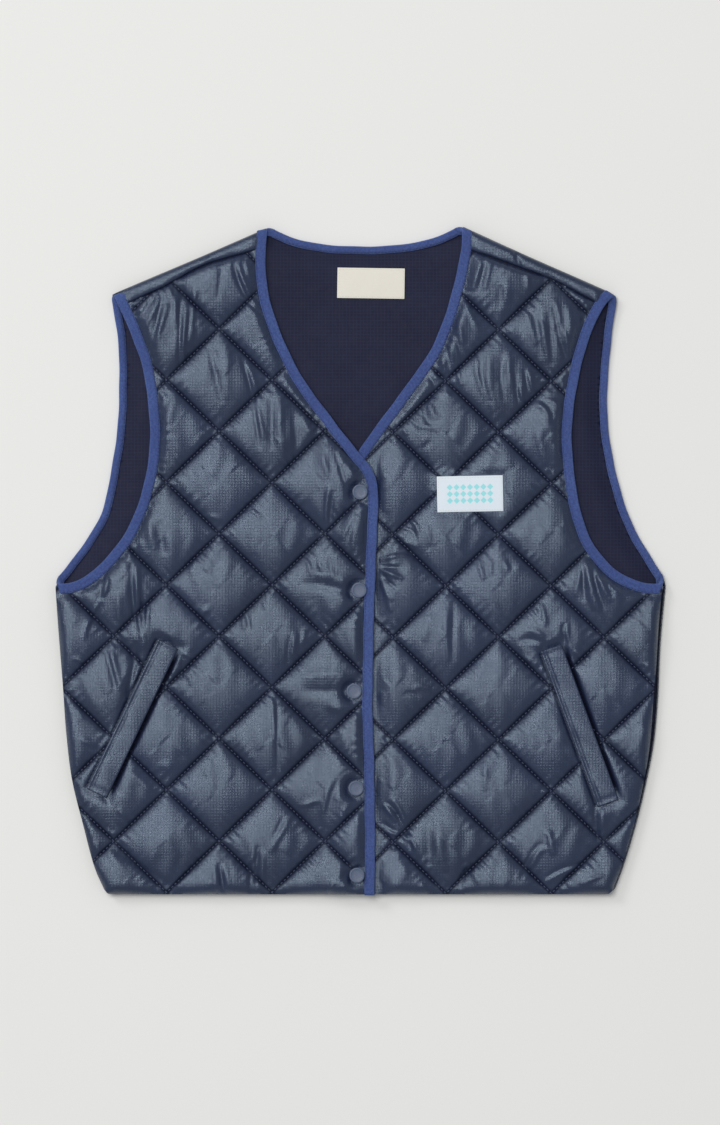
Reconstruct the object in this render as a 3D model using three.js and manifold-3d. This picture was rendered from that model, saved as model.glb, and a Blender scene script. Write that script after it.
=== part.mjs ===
// Quilted vest laid flat on its back, front up. Millimetres, +Z up, +Y towards the neck,
// +X to the right as seen from above. Left and right below are as seen from above.
import * as THREE from "three";
import { mergeVertices } from "three/addons/utils/BufferGeometryUtils.js";
import Module from "manifold-3d";

const wasm = await Module();
wasm.setup();

// Layers, from the surface it lies on upwards
const SEAM_GAP = 0.3;
const BACK_THICKNESS = 7;
const BACK_EDGE_ROUND = 1.8;
const FRONT_INSIDE = BACK_THICKNESS + SEAM_GAP;
const GROOVE_THICKNESS = 2.6;
const PUFF_HEIGHT = 7.4;
const BOUND_EDGE_THICKNESS = 3.5;
const FREE_EDGE_THICKNESS = 2.4;
const TOP_LIMIT = 30;
const FAR_OUT = 40;

// Quilting: diamonds stitched along two families of slanted lines
const DIAMOND_WIDTH = 97;
const DIAMOND_HEIGHT = 94.3;
const CELLS_PER_DIAMOND = 6;
const PUFF_FULLNESS = 0.55;
const EDGE_ROLL = 14;
const BINDING_ROLL = 13;

// Bias binding folded round the raw edges
const BINDING_WIDTH = 9.4;
const BACK_BINDING_WIDTH = 7.2;
const BINDING_HEIGHT = 4.4;
const BINDING_WALL = 1;
const BINDING_ROUND = 0.9;
const BINDING_STEP = 17;
const BINDING_SLOPE = 0.3;
const PLAIN_STEP = 24;
const BACK_BEVEL_WIDTH = 24;
const OUTSIDE = 8;

// The placket: the left front lies over the right front at the centre
const OVERLAP_LIFT = BINDING_HEIGHT + SEAM_GAP;
const LIFT_FROM = -41;
const LIFT_TO = -14;
const UNDERLAP_EDGE = -15.6;
const UNDERLAP_FLAT_TO = 16;
const UNDERLAP_FULL_AT = 31;
const UNDERLAP_THICKNESS = 3.5;

// What centres the whole outline on the origin
const CENTRE = { x: -0.3, y: 0.4 };

const HEM = -307.6;
const HEM_CORNER = 4;
const BACK_INSET = 1.5;
const SHOULDER_STRIP_HEIGHT = 5.2;
const SHOULDER_ROUND = 3.2;

const SNAP_RADIUS = 7;
const SNAP_HEIGHT = 2.2;
const SNAP_SEAT = 16.4;
const SNAP_DIMPLE = 9;
const SNAP_DIMPLE_FADE = 7;
const SNAP_SIDES = 20;
const WELT_LENGTH = 152;
const WELT_WIDTH = 20.5;
const WELT_HEIGHT = 3.4;
const WELT_ROUND = 0.9;
const WELT_SEAT = 13.2;
const SEAT_FADE = 9;
const CHEST_LABEL = { x: 101.2, y: 60.9, width: 60.7, length: 33, turn: 0.02, seat: 14.4 };
const NECK_LABEL = { x: 10.1, y: 254.8, width: 62, length: 28, turn: -0.015, seat: BACK_THICKNESS };
const LABEL_HEIGHT = 1.1;
const LABEL_ROUND = 0.25;

const table = (columns, rows) =>
  rows.map((row) => Object.fromEntries(columns.map((name, index) => [name, row[index]])));

// Finished edges, each from the shoulder downwards; raise is the height of the binding's foot
const NECK_EDGE_OVER = table(["x", "y"], [
  [-84.6, 306], [-86.9, 285.2], [-84.6, 248.4], [-73.6, 210.7], [-53.4, 169.3], [-23.9, 127.9],
  [-4.6, 103.5], [9.2, 86.5], [15.2, 72.7], [16.8, 56], [14.7, 0], [12.4, -73.6], [11.7, -142.6],
  [13.4, -200], [13.8, -290], [13.6, -308.4],
]);
const NECK_EDGE_UNDER = table(["x", "y"], [
  [93.8, 307], [92.9, 285.2], [87.4, 257.6], [78.2, 225.4], [64.4, 192.3], [43.2, 161.9],
  [20.2, 130.6], [-1.8, 99.4], [-12.9, 79], [-15.6, 55], [-15.6, 0], [-15.6, -100],
  [-15.6, -200], [-15.6, -307.2],
]);
const ARMHOLE_FRONT_LEFT = table(["x", "y"], [
  [-227.2, 245.2], [-219, 227.2], [-208.8, 202.4], [-199.6, 174.8], [-194.6, 139.8],
  [-193.4, 114.1], [-195.5, 86.5], [-202.4, 57], [-215.3, 26.7], [-232.8, 2.8],
  [-253.9, -15.6], [-268.6, -21], [-280.4, -21.6],
]);
const ARMHOLE_FRONT_RIGHT = table(["x", "y"], [
  [235.5, 244.3], [224.5, 233.2], [212.5, 207.9], [203.3, 176.6], [197.3, 145.4], [195, 115],
  [196.9, 82.8], [201.5, 52.4], [213.4, 17.5], [234.6, -8.3], [257.6, -19.8], [280, -22.1],
]);
const ARMHOLE_BACK_LEFT = table(["x", "y", "raise"], [
  [-229.5, 244.3, 2.6], [-225.9, 222.6, 0.8], [-222.6, 197.8, 0], [-221.7, 167.4, 0],
  [-223.6, 121.4, 0], [-229.1, 82.8, 0], [-238.3, 43.2, 0], [-252.1, 18.4, 0],
  [-270.5, -6.4, 1.2], [-281, -18.4, 2.6],
]);
const ARMHOLE_BACK_RIGHT = table(["x", "y", "raise"], [
  [236.9, 242.9, 2.6], [230.9, 197.8, 0.4], [227.7, 151.8, 0], [230, 110.4, 0],
  [239.2, 67.2, 0], [252.1, 30.4, 0], [268.6, 1.8, 0.6], [281.3, -17.5, 2.6],
]);
const NECK_EDGE_BACK = table(["x", "y", "raise"], [
  [-83.6, 306.4, 2.6], [-62.6, 297.2, 0.8], [-33.1, 290.7, 0], [1.8, 288.9, 0],
  [37.7, 290.7, 0], [65.3, 295.8, 0.8], [92.4, 307.6, 2.6],
]);

// Folded and sewn edges, from the armhole or neck outwards
const SIDE_LEFT = table(["x", "y"], [
  [-279.9, -31.4], [-277.8, -61.6], [-273.2, -119.6], [-270.5, -158.2], [-265, -202.4],
  [-254.8, -243.8], [-243.8, -284.3], [-235.5, -303],
]);
const SIDE_RIGHT = table(["x", "y"], [
  [281.6, -24], [276.9, -76.4], [274.2, -132.5], [270.5, -170.2], [263.1, -207.9],
  [254.8, -242], [243.8, -278.8], [235, -303],
]);
const SIDE_SEAM_RIGHT = table(["x", "y"], [
  [277.4, -31.6], [275.1, -58], [272.8, -95.7], [270.5, -123.3], [266.8, -170.2],
  [260.6, -207.9], [252.8, -242], [242, -278.8], [233, -303],
]);
const SHOULDER_FOLD_LEFT = table(["x", "y"], [
  [-229.2, 244.3], [-207.9, 253.5], [-147.2, 279.2], [-84.6, 306.4],
]);
const SHOULDER_FOLD_RIGHT = table(["x", "y"], [
  [237.2, 243.4], [208.8, 256.2], [156.4, 279.2], [93.8, 307.6],
]);
const SHOULDER_SEAM_LEFT = table(["x", "y"], [
  [-217, 234.6], [-180, 252], [-145.4, 270.5], [-120, 278.6], [-86, 288],
]);
const SHOULDER_SEAM_RIGHT = table(["x", "y"], [
  [228, 231], [173.9, 259.4], [148.1, 268.6], [120, 279], [93, 287.6],
]);

// Main creases: a ridge is above zero, a trough below; reach is the half length along the crease
const CREASES_LEFT = table(["x", "y", "angle", "reach", "width", "height"], [
  [-168, 196, 1.1, 34, 7, 1.6], [-188, 214, 1.35, 26, 6, -1.3], [-150, 238, -0.5, 30, 7, 1.2],
  [-104, 240, 1.2, 34, 7, 1.5], [-92, 205, 1.35, 30, 6, -1.2], [-34, 92, 1.45, 40, 8, 1.4],
  [-50, 60, 1.5, 36, 7, -1.1], [-211, -20, 1.45, 34, 7, 1.6], [-204, -70, -1.2, 32, 7, 1.3],
  [-24, -46, 0.9, 26, 8, 1.2], [-126, -288, 1.5, 26, 6, -1.4], [-98, -286, 1.6, 26, 6, 1.3],
  [-180, -260, 0.7, 34, 8, 1.1], [-60, -176, 1.2, 34, 8, 0.9],
]);
const CREASES_RIGHT = table(["x", "y", "angle", "reach", "width", "height"], [
  [152, 205, 1.45, 34, 7, 1.4], [96, 222, -1.35, 34, 7, 1.3], [66, 160, 1.2, 28, 7, -1.2],
  [170, 120, 1.5, 36, 8, 1.1], [226, -24, 1.9, 32, 7, 1.5], [40, 12, 0.8, 26, 7, 1.4],
  [38, -250, 0.9, 28, 7, 1.4], [98, -290, 1.5, 24, 6, -1.3], [152, -288, 1.6, 26, 6, 1.3],
  [190, -276, -0.8, 36, 8, 1.5], [216, -256, 1.5, 30, 7, -1], [112, -150, 1.5, 34, 8, 0.9],
]);

const SNAPS = table(["x", "y"], [[0, 62.6], [-0.9, -27.6], [-5.5, -120.5], [-3.7, -209.8], [-2.8, -289.8]]);
const WELTS = table(["name", "x", "y", "turn"], [
  ["pocket_welt_left", -209.4, -145.8, -0.445], ["pocket_welt_right", 201.9, -152.3, 0.351],
]);
const LATTICE_LEFT = { x: -81, y: -23 };
const LATTICE_RIGHT = { x: 79.1, y: -23.9 };

const shell = new THREE.MeshStandardMaterial({ color: 0x3a4560, roughness: 0.38, metalness: 0 });
const lining = new THREE.MeshStandardMaterial({ color: 0x22253a, roughness: 0.6, metalness: 0 });
const tape = new THREE.MeshStandardMaterial({ color: 0x3c58a0, roughness: 0.75, metalness: 0 });
const snapMaterial = new THREE.MeshStandardMaterial({ color: 0x3f4c66, roughness: 0.5, metalness: 0.1 });
const labelCream = new THREE.MeshStandardMaterial({ color: 0xe9e5da, roughness: 0.8, metalness: 0 });
const labelWhite = new THREE.MeshStandardMaterial({ color: 0xe6ebf2, roughness: 0.7, metalness: 0 });

const smooth = (value) => {
  const clamped = Math.min(1, Math.max(0, value));
  return clamped * clamped * (3 - 2 * clamped);
};
const roll = (value) => {
  const clamped = Math.min(1, Math.max(0, value));
  return Math.sqrt(1 - (1 - clamped) * (1 - clamped));
};

// A smooth line through a table's rows, in about equal steps, with its height set by foot
function edgeLine(rows, step, foot = (point) => Math.max(0, point.z)) {
  const points = rows.map((row) => new THREE.Vector3(row.x, row.y, row.raise ?? 0));
  const curve = new THREE.CatmullRomCurve3(points, false, "centripetal");
  const line = curve.getSpacedPoints(Math.max(2, Math.round(curve.getLength() / step)));
  return line.map((point) => new THREE.Vector3(point.x, point.y, foot(point)));
}

// The same line moved sideways, towards +side of its direction
function movedLine(line, distance) {
  return line.map((point, index) => {
    const before = line[Math.max(0, index - 1)];
    const after = line[Math.min(line.length - 1, index + 1)];
    const along = new THREE.Vector2(after.x - before.x, after.y - before.y).normalize();
    return new THREE.Vector3(point.x - along.y * distance, point.y + along.x * distance, point.z);
  });
}

function solidFrom(geometry) {
  const bare = geometry.index ? geometry.toNonIndexed() : geometry.clone();
  bare.deleteAttribute("normal");
  bare.deleteAttribute("uv");
  const merged = mergeVertices(bare, 1e-4);
  const vertProperties = new Float32Array(merged.attributes.position.array);
  const triVerts = new Uint32Array(merged.index.array);
  return new wasm.Manifold(new wasm.Mesh({ numProp: 3, vertProperties, triVerts }));
}

function geometryFrom(solid) {
  const result = solid.getMesh();
  const geometry = new THREE.BufferGeometry();
  geometry.setAttribute("position", new THREE.BufferAttribute(new Float32Array(result.vertProperties), 3));
  geometry.setIndex(new THREE.BufferAttribute(new Uint32Array(result.triVerts), 1));
  geometry.computeVertexNormals();
  return geometry;
}

function closedGeometry(points, triangles) {
  const geometry = new THREE.BufferGeometry();
  const numbers = points.flatMap((point) => [point.x, point.y, point.z]);
  geometry.setAttribute("position", new THREE.Float32BufferAttribute(numbers, 3));
  let volume = 0;
  for (const [a, b, c] of triangles) {
    volume += points[a].dot(new THREE.Vector3().crossVectors(points[b], points[c]));
  }
  geometry.setIndex(triangles.flatMap(([a, b, c]) => (volume > 0 ? [a, b, c] : [a, c, b])));
  return geometry;
}

// A section carried along an edge: across runs from the finished edge into the cloth
function carriedSection(line, side, corners) {
  const flat = (rows) => rows.map((row) => new THREE.Vector2(row.across, row.up));
  const section = THREE.ShapeUtils.isClockWise(flat(corners)) ? [...corners].reverse() : corners;
  const outline = flat(section);
  const points = [];
  line.forEach((station, index) => {
    const before = line[Math.max(0, index - 1)];
    const after = line[Math.min(line.length - 1, index + 1)];
    const along = new THREE.Vector2(after.x - before.x, after.y - before.y).normalize();
    for (const corner of section) {
      const x = station.x - along.y * corner.across * side;
      const y = station.y + along.x * corner.across * side;
      points.push(new THREE.Vector3(x, y, station.z + corner.up));
    }
  });
  const count = section.length;
  const triangles = [];
  for (let ring = 0; ring < line.length - 1; ring += 1) {
    for (let corner = 0; corner < count; corner += 1) {
      const next = (corner + 1) % count;
      const a = ring * count + corner;
      const b = ring * count + next;
      triangles.push([a, b, b + count], [a, b + count, a + count]);
    }
  }
  const last = (line.length - 1) * count;
  for (const [a, b, c] of THREE.ShapeUtils.triangulateShape(outline, [])) {
    triangles.push([a, c, b], [last + a, last + b, last + c]);
  }
  return closedGeometry(points, triangles);
}

// Section of the folded tape, open towards the cloth
function tapeSection(width) {
  const top = BINDING_HEIGHT;
  const wall = BINDING_WALL;
  const round = BINDING_ROUND;
  return table(["across", "up"], [
    [0, round], [0, top - round], [round, top], [width, top - BINDING_SLOPE],
    [width, top - BINDING_SLOPE - wall], [wall, top - BINDING_SLOPE - wall],
    [wall, wall], [width, wall], [width, 0], [round, 0],
  ]);
}

// What the tape takes up in a panel: everything but the tongue that it grips
function tapeClearance(width) {
  const far = width + SEAM_GAP;
  const low = BINDING_WALL + SEAM_GAP;
  const high = BINDING_HEIGHT - BINDING_SLOPE - BINDING_WALL - SEAM_GAP;
  return table(["across", "up"], [
    [-OUTSIDE, -TOP_LIMIT], [-OUTSIDE, TOP_LIMIT], [far, TOP_LIMIT], [far, high],
    [low, high], [low, low], [far, low], [far, -TOP_LIMIT],
  ]);
}

// The bevel of the back's lining side down to a bound edge
function backBevel() {
  return table(["across", "up"], [
    [-OUTSIDE, BINDING_HEIGHT], [BACK_BINDING_WIDTH, BINDING_HEIGHT],
    [BACK_BEVEL_WIDTH, BACK_THICKNESS + SEAM_GAP], [-OUTSIDE, TOP_LIMIT],
  ]);
}

const shapeOf = (points) => new THREE.Shape(points.map((point) => new THREE.Vector2(point.x, point.y)));

function upright(points, low, high) {
  const geometry = new THREE.ExtrudeGeometry(shapeOf(points), { depth: high - low, bevelEnabled: false });
  geometry.translate(0, 0, low);
  return solidFrom(geometry);
}

function roundedSlab(points, low, high, round) {
  const geometry = new THREE.ExtrudeGeometry(shapeOf(points), {
    depth: high - low - 2 * round,
    bevelEnabled: true,
    bevelThickness: round,
    bevelSize: round,
    bevelOffset: -round,
    bevelSegments: 2,
  });
  geometry.translate(0, 0, low + round);
  return solidFrom(geometry);
}

function distanceTo(lines, x, y) {
  let nearest = Infinity;
  for (const line of lines) {
    for (let index = 0; index < line.length - 1; index += 1) {
      const a = line[index];
      const b = line[index + 1];
      const lengthX = b.x - a.x;
      const lengthY = b.y - a.y;
      const share = ((x - a.x) * lengthX + (y - a.y) * lengthY) / (lengthX * lengthX + lengthY * lengthY);
      const clamped = Math.min(1, Math.max(0, share));
      nearest = Math.min(nearest, Math.hypot(x - a.x - clamped * lengthX, y - a.y - clamped * lengthY));
    }
  }
  return nearest;
}

const liftAt = (x) => OVERLAP_LIFT * smooth((x - LIFT_FROM) / (LIFT_TO - LIFT_FROM));

// 1 inside a turned rectangle, falling to 0 over a margin round it
function onPlate(plate, x, y, margin) {
  const dx = x - plate.x;
  const dy = y - plate.y;
  const across = Math.abs(dx * Math.cos(plate.turn) + dy * Math.sin(plate.turn)) - plate.width / 2;
  const along = Math.abs(dy * Math.cos(plate.turn) - dx * Math.sin(plate.turn)) - plate.length / 2;
  return 1 - smooth(Math.max(across, along) / margin);
}

// Height of a front's outer cloth: quilting, edges, creases and the seats of what is sewn on
function outerHeight(front, x, y) {
  const acrossShare = (x - front.lattice.x) / DIAMOND_WIDTH;
  const alongShare = (y - front.lattice.y) / DIAMOND_HEIGHT;
  const first = Math.sin(Math.PI * (acrossShare + alongShare));
  const second = Math.sin(Math.PI * (acrossShare - alongShare));
  const puff = Math.abs(first * second) ** PUFF_FULLNESS;
  const fromBinding = smooth((distanceTo(front.boundLines, x, y) - BINDING_WIDTH) / BINDING_ROLL);
  const fromSeam = roll(distanceTo(front.freeLines, x, y) / EDGE_ROLL);
  const flattened = front.over ? 1 : smooth((x - UNDERLAP_FLAT_TO) / (UNDERLAP_FULL_AT - UNDERLAP_FLAT_TO));
  let thickness = GROOVE_THICKNESS + PUFF_HEIGHT * puff;
  for (const crease of front.creases) {
    const dx = x - crease.x;
    const dy = y - crease.y;
    const along = (dx * Math.cos(crease.angle) + dy * Math.sin(crease.angle)) / crease.reach;
    const across = (dy * Math.cos(crease.angle) - dx * Math.sin(crease.angle)) / crease.width;
    thickness += crease.height * Math.exp(-along * along * 2 - across * across);
  }
  thickness = BOUND_EDGE_THICKNESS + (thickness - BOUND_EDGE_THICKNESS) * fromBinding;
  thickness = FREE_EDGE_THICKNESS + (thickness - FREE_EDGE_THICKNESS) * fromSeam;
  thickness = UNDERLAP_THICKNESS + (thickness - UNDERLAP_THICKNESS) * flattened;
  let height = FRONT_INSIDE + (front.over ? liftAt(x) : 0) + thickness;
  for (const plate of front.plates) {
    height += (plate.seat + SEAM_GAP - height) * onPlate(plate, x, y, SEAT_FADE);
  }
  for (const snap of front.snaps) {
    const beside = 1 - smooth((Math.hypot(x - snap.x, y - snap.y) - SNAP_DIMPLE) / SNAP_DIMPLE_FADE);
    height += (SNAP_SEAT + SEAM_GAP - height) * beside;
  }
  return height;
}

// A slab whose upper side is the outer cloth, on a net that follows the quilting lines
function quiltedSlab(front) {
  const columns = [];
  const rows = [];
  const corners = front.outline.map((point) => {
    const across = (point.x - front.lattice.x) / DIAMOND_WIDTH;
    const along = (point.y - front.lattice.y) / DIAMOND_HEIGHT;
    return { first: across + along, second: across - along };
  });
  const range = (key) => [
    Math.floor(Math.min(...corners.map((corner) => corner[key])) * CELLS_PER_DIAMOND) - 1,
    Math.ceil(Math.max(...corners.map((corner) => corner[key])) * CELLS_PER_DIAMOND) + 1,
  ];
  const [firstLow, firstHigh] = range("first");
  const [secondLow, secondHigh] = range("second");
  for (let step = firstLow; step <= firstHigh; step += 1) columns.push(step / CELLS_PER_DIAMOND);
  for (let step = secondLow; step <= secondHigh; step += 1) rows.push(step / CELLS_PER_DIAMOND);
  const points = [];
  for (const upper of [true, false]) {
    for (const second of rows) {
      for (const first of columns) {
        const x = front.lattice.x + ((first + second) / 2) * DIAMOND_WIDTH;
        const y = front.lattice.y + ((first - second) / 2) * DIAMOND_HEIGHT;
        points.push(new THREE.Vector3(x, y, upper ? outerHeight(front, x, y) : 0));
      }
    }
  }
  const wide = columns.length;
  const layer = wide * rows.length;
  const triangles = [];
  const quad = (a, b, c, d) => triangles.push([a, b, c], [a, c, d]);
  for (let row = 0; row < rows.length - 1; row += 1) {
    for (let column = 0; column < wide - 1; column += 1) {
      const corner = row * wide + column;
      quad(corner, corner + 1, corner + wide + 1, corner + wide);
      quad(layer + corner, layer + corner + wide, layer + corner + wide + 1, layer + corner + 1);
    }
  }
  const wall = (a, b) => quad(a, layer + a, layer + b, b);
  for (let column = 0; column < wide - 1; column += 1) {
    wall(column, column + 1);
    wall((rows.length - 1) * wide + column + 1, (rows.length - 1) * wide + column);
  }
  for (let row = 0; row < rows.length - 1; row += 1) {
    wall((row + 1) * wide, row * wide);
    wall(row * wide + wide - 1, (row + 1) * wide + wide - 1);
  }
  return solidFrom(closedGeometry(points, triangles));
}

const plainLine = (rows) => edgeLine(rows, PLAIN_STEP);

// The lines that the bindings follow; side is the cloth's side of the line, 1 for its left
function bound(rows, side, width, foot) {
  return { line: edgeLine(rows, BINDING_STEP, foot), side, width };
}
const frontFoot = () => FRONT_INSIDE;
const overlapFoot = (point) => FRONT_INSIDE + liftAt(point.x);
const BINDINGS = {
  binding_front_over: bound(NECK_EDGE_OVER, -1, BINDING_WIDTH, overlapFoot),
  binding_front_under: bound(NECK_EDGE_UNDER, 1, BINDING_WIDTH, frontFoot),
  binding_armhole_front_left: bound(ARMHOLE_FRONT_LEFT, 1, BINDING_WIDTH, frontFoot),
  binding_armhole_front_right: bound(ARMHOLE_FRONT_RIGHT, -1, BINDING_WIDTH, frontFoot),
  binding_armhole_back_left: bound(ARMHOLE_BACK_LEFT, 1, BACK_BINDING_WIDTH),
  binding_armhole_back_right: bound(ARMHOLE_BACK_RIGHT, -1, BACK_BINDING_WIDTH),
  binding_neck_back: bound(NECK_EDGE_BACK, -1, BACK_BINDING_WIDTH),
};
const clearanceOf = (name) => {
  const binding = BINDINGS[name];
  return solidFrom(carriedSection(binding.line, binding.side, tapeClearance(binding.width)));
};
// The raw edge of a panel inside its binding
const rawEdge = (name) => {
  const binding = BINDINGS[name];
  return movedLine(binding.line, (BINDING_WALL + SEAM_GAP) * binding.side);
};
const reversed = (line) => [...line].reverse();
const corner = (x, y) => new THREE.Vector3(x, y, 0);

// Upper layer of each half, fronts and forward shoulders together, anticlockwise from the neck
const UPPER_LEFT = [
  ...reversed(plainLine(SHOULDER_FOLD_LEFT)).slice(1, -1),
  ...rawEdge("binding_armhole_front_left"),
  ...plainLine(SIDE_LEFT),
  corner(SIDE_LEFT.at(-1).x + HEM_CORNER, HEM),
  ...reversed(rawEdge("binding_front_over")),
];
const UPPER_RIGHT = [
  ...rawEdge("binding_front_under"),
  corner(SIDE_SEAM_RIGHT.at(-1).x - HEM_CORNER, HEM),
  ...reversed(plainLine(SIDE_SEAM_RIGHT)),
  ...reversed(rawEdge("binding_armhole_front_right")),
  ...plainLine(SHOULDER_FOLD_RIGHT).slice(1, -1),
];

// Everything on the neck side of a shoulder seam
function aboveSeam(rows, gap) {
  const line = rows.map((row) => corner(row.x, row.y + gap));
  const first = line[0];
  const last = line.at(-1);
  const toArmhole = Math.sign(first.x - last.x);
  const slope = (first.y - line[1].y) / (first.x - line[1].x);
  return upright([
    corner(first.x + toArmhole * FAR_OUT, first.y + slope * toArmhole * FAR_OUT),
    ...line,
    corner(last.x - toArmhole * FAR_OUT, last.y),
    corner(last.x - toArmhole * FAR_OUT, last.y + FAR_OUT),
    corner(first.x + toArmhole * FAR_OUT, last.y + FAR_OUT),
  ], -TOP_LIMIT, TOP_LIMIT);
}

const plates = Object.fromEntries(WELTS.map((row) => [
  row.name, { ...row, width: WELT_WIDTH, length: WELT_LENGTH, seat: WELT_SEAT },
]));

const FRONTS = {
  front_panel_over: {
    over: true,
    outline: UPPER_LEFT,
    lattice: LATTICE_LEFT,
    creases: CREASES_LEFT,
    snaps: SNAPS,
    plates: [plates.pocket_welt_left],
    boundLines: [BINDINGS.binding_front_over.line, BINDINGS.binding_armhole_front_left.line],
    freeLines: [
      plainLine(SIDE_LEFT),
      [corner(SIDE_LEFT.at(-1).x, HEM), corner(FAR_OUT, HEM)],
      SHOULDER_SEAM_LEFT,
    ],
    seam: SHOULDER_SEAM_LEFT,
    bindings: ["binding_front_over", "binding_armhole_front_left"],
  },
  front_panel_under: {
    over: false,
    outline: UPPER_RIGHT,
    lattice: LATTICE_RIGHT,
    creases: CREASES_RIGHT,
    snaps: [],
    plates: [plates.pocket_welt_right, CHEST_LABEL],
    boundLines: [BINDINGS.binding_front_under.line, BINDINGS.binding_armhole_front_right.line],
    freeLines: [
      plainLine(SIDE_SEAM_RIGHT),
      [corner(-FAR_OUT, HEM), corner(SIDE_RIGHT.at(-1).x, HEM)],
      SHOULDER_SEAM_RIGHT,
    ],
    seam: SHOULDER_SEAM_RIGHT,
    bindings: ["binding_front_under", "binding_armhole_front_right"],
  },
};

// Room that the two halves leave each other where they overlap
const underlapLine = movedLine(BINDINGS.binding_front_under.line, -SEAM_GAP);
const underlapRoom = () => upright([
  ...underlapLine,
  corner(UNDERLAP_EDGE - SEAM_GAP, HEM - FAR_OUT),
  corner(SIDE_RIGHT[0].x, HEM - FAR_OUT),
  corner(SIDE_RIGHT[0].x, underlapLine[0].y),
], -TOP_LIMIT, FRONT_INSIDE + OVERLAP_LIFT);
const overlapLine = movedLine(BINDINGS.binding_front_over.line, SEAM_GAP);
const overlapRoom = () => upright([
  ...reversed(overlapLine),
  corner(SIDE_LEFT[0].x, overlapLine[0].y),
  corner(SIDE_LEFT[0].x, HEM - FAR_OUT),
  corner(overlapLine.at(-1).x, HEM - FAR_OUT),
], FRONT_INSIDE + BINDING_HEIGHT, TOP_LIMIT);

function turnedBox(plate, grow) {
  const halfWidth = plate.width / 2 + grow;
  const halfLength = plate.length / 2 + grow;
  const cos = Math.cos(plate.turn);
  const sin = Math.sin(plate.turn);
  const at = (across, along) => corner(
    plate.x + across * cos - along * sin,
    plate.y + across * sin + along * cos,
  );
  return [
    at(-halfWidth, -halfLength), at(halfWidth, -halfLength),
    at(halfWidth, halfLength), at(-halfWidth, halfLength),
  ];
}

function frontPanel(front) {
  let solid = quiltedSlab(front)
    .intersect(upright(front.outline, FRONT_INSIDE, TOP_LIMIT))
    .subtract(aboveSeam(front.seam, -SEAM_GAP / 2))
    .subtract(front.over ? underlapRoom() : overlapRoom());
  for (const name of front.bindings) solid = solid.subtract(clearanceOf(name));
  for (const plate of front.plates) {
    solid = solid.subtract(upright(turnedBox(plate, SEAM_GAP), plate.seat, TOP_LIMIT));
  }
  for (const snap of front.snaps) {
    const clear = SNAP_RADIUS + SEAM_GAP;
    const bore = new THREE.CylinderGeometry(clear, clear, TOP_LIMIT, SNAP_SIDES);
    bore.rotateX(Math.PI / 2);
    bore.translate(snap.x, snap.y, SNAP_SEAT + TOP_LIMIT / 2);
    solid = solid.subtract(solidFrom(bore));
  }
  return geometryFrom(solid);
}

// The back comes forward over each shoulder as far as the shoulder seam
function shoulderStrip(front) {
  let strip = roundedSlab(front.outline, 0, FRONT_INSIDE + SHOULDER_STRIP_HEIGHT, SHOULDER_ROUND)
    .intersect(aboveSeam(front.seam, SEAM_GAP / 2));
  for (const name of [...front.bindings, ...BACK_BINDINGS]) strip = strip.subtract(clearanceOf(name));
  return strip;
}

const BACK_BINDINGS = ["binding_neck_back", "binding_armhole_back_left", "binding_armhole_back_right"];

function backPanel() {
  const outline = [
    ...reversed(rawEdge("binding_neck_back")),
    ...reversed(plainLine(SHOULDER_FOLD_LEFT)).slice(1, -1),
    ...rawEdge("binding_armhole_back_left"),
    ...movedLine(plainLine(SIDE_LEFT), BACK_INSET),
    corner(SIDE_LEFT.at(-1).x + HEM_CORNER, HEM + BACK_INSET),
    corner(SIDE_RIGHT.at(-1).x - HEM_CORNER, HEM + BACK_INSET),
    ...reversed(plainLine(SIDE_RIGHT)),
    ...reversed(rawEdge("binding_armhole_back_right")),
    ...plainLine(SHOULDER_FOLD_RIGHT).slice(1, -1),
  ];
  let solid = roundedSlab(outline, 0, BACK_THICKNESS, BACK_EDGE_ROUND);
  for (const name of BACK_BINDINGS) {
    const { line, side } = BINDINGS[name];
    solid = solid.subtract(clearanceOf(name)).subtract(solidFrom(carriedSection(line, side, backBevel())));
  }
  for (const front of Object.values(FRONTS)) solid = solid.add(shoulderStrip(front));
  return geometryFrom(solid);
}

function snapCap() {
  const profile = table(["radius", "up"], [
    [0, 0], [SNAP_RADIUS, 0], [SNAP_RADIUS, SNAP_HEIGHT * 0.5],
    [SNAP_RADIUS - 1, SNAP_HEIGHT * 0.95], [SNAP_RADIUS * 0.5, SNAP_HEIGHT], [0, SNAP_HEIGHT],
  ]);
  const points = profile.map((row) => new THREE.Vector2(row.radius, row.up));
  const cap = new THREE.LatheGeometry(points, SNAP_SIDES);
  cap.rotateX(Math.PI / 2);
  return cap;
}

function plateGeometry(width, length, height, round) {
  const outline = turnedBox({ x: 0, y: 0, width, length, turn: 0 }, 0);
  const geometry = new THREE.ExtrudeGeometry(shapeOf(outline), {
    depth: height - 2 * round,
    bevelEnabled: true,
    bevelThickness: round,
    bevelSize: round,
    bevelOffset: -round,
    bevelSegments: 2,
  });
  geometry.translate(0, 0, round);
  return geometry;
}

const vest = new THREE.Group();
vest.position.set(CENTRE.x, CENTRE.y, 0);
function addPiece(name, geometry, material, x = 0, y = 0, z = 0, turn = 0) {
  const mesh = new THREE.Mesh(geometry, material);
  mesh.name = name;
  mesh.position.set(x, y, z);
  mesh.rotation.z = turn;
  vest.add(mesh);
}

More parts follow.
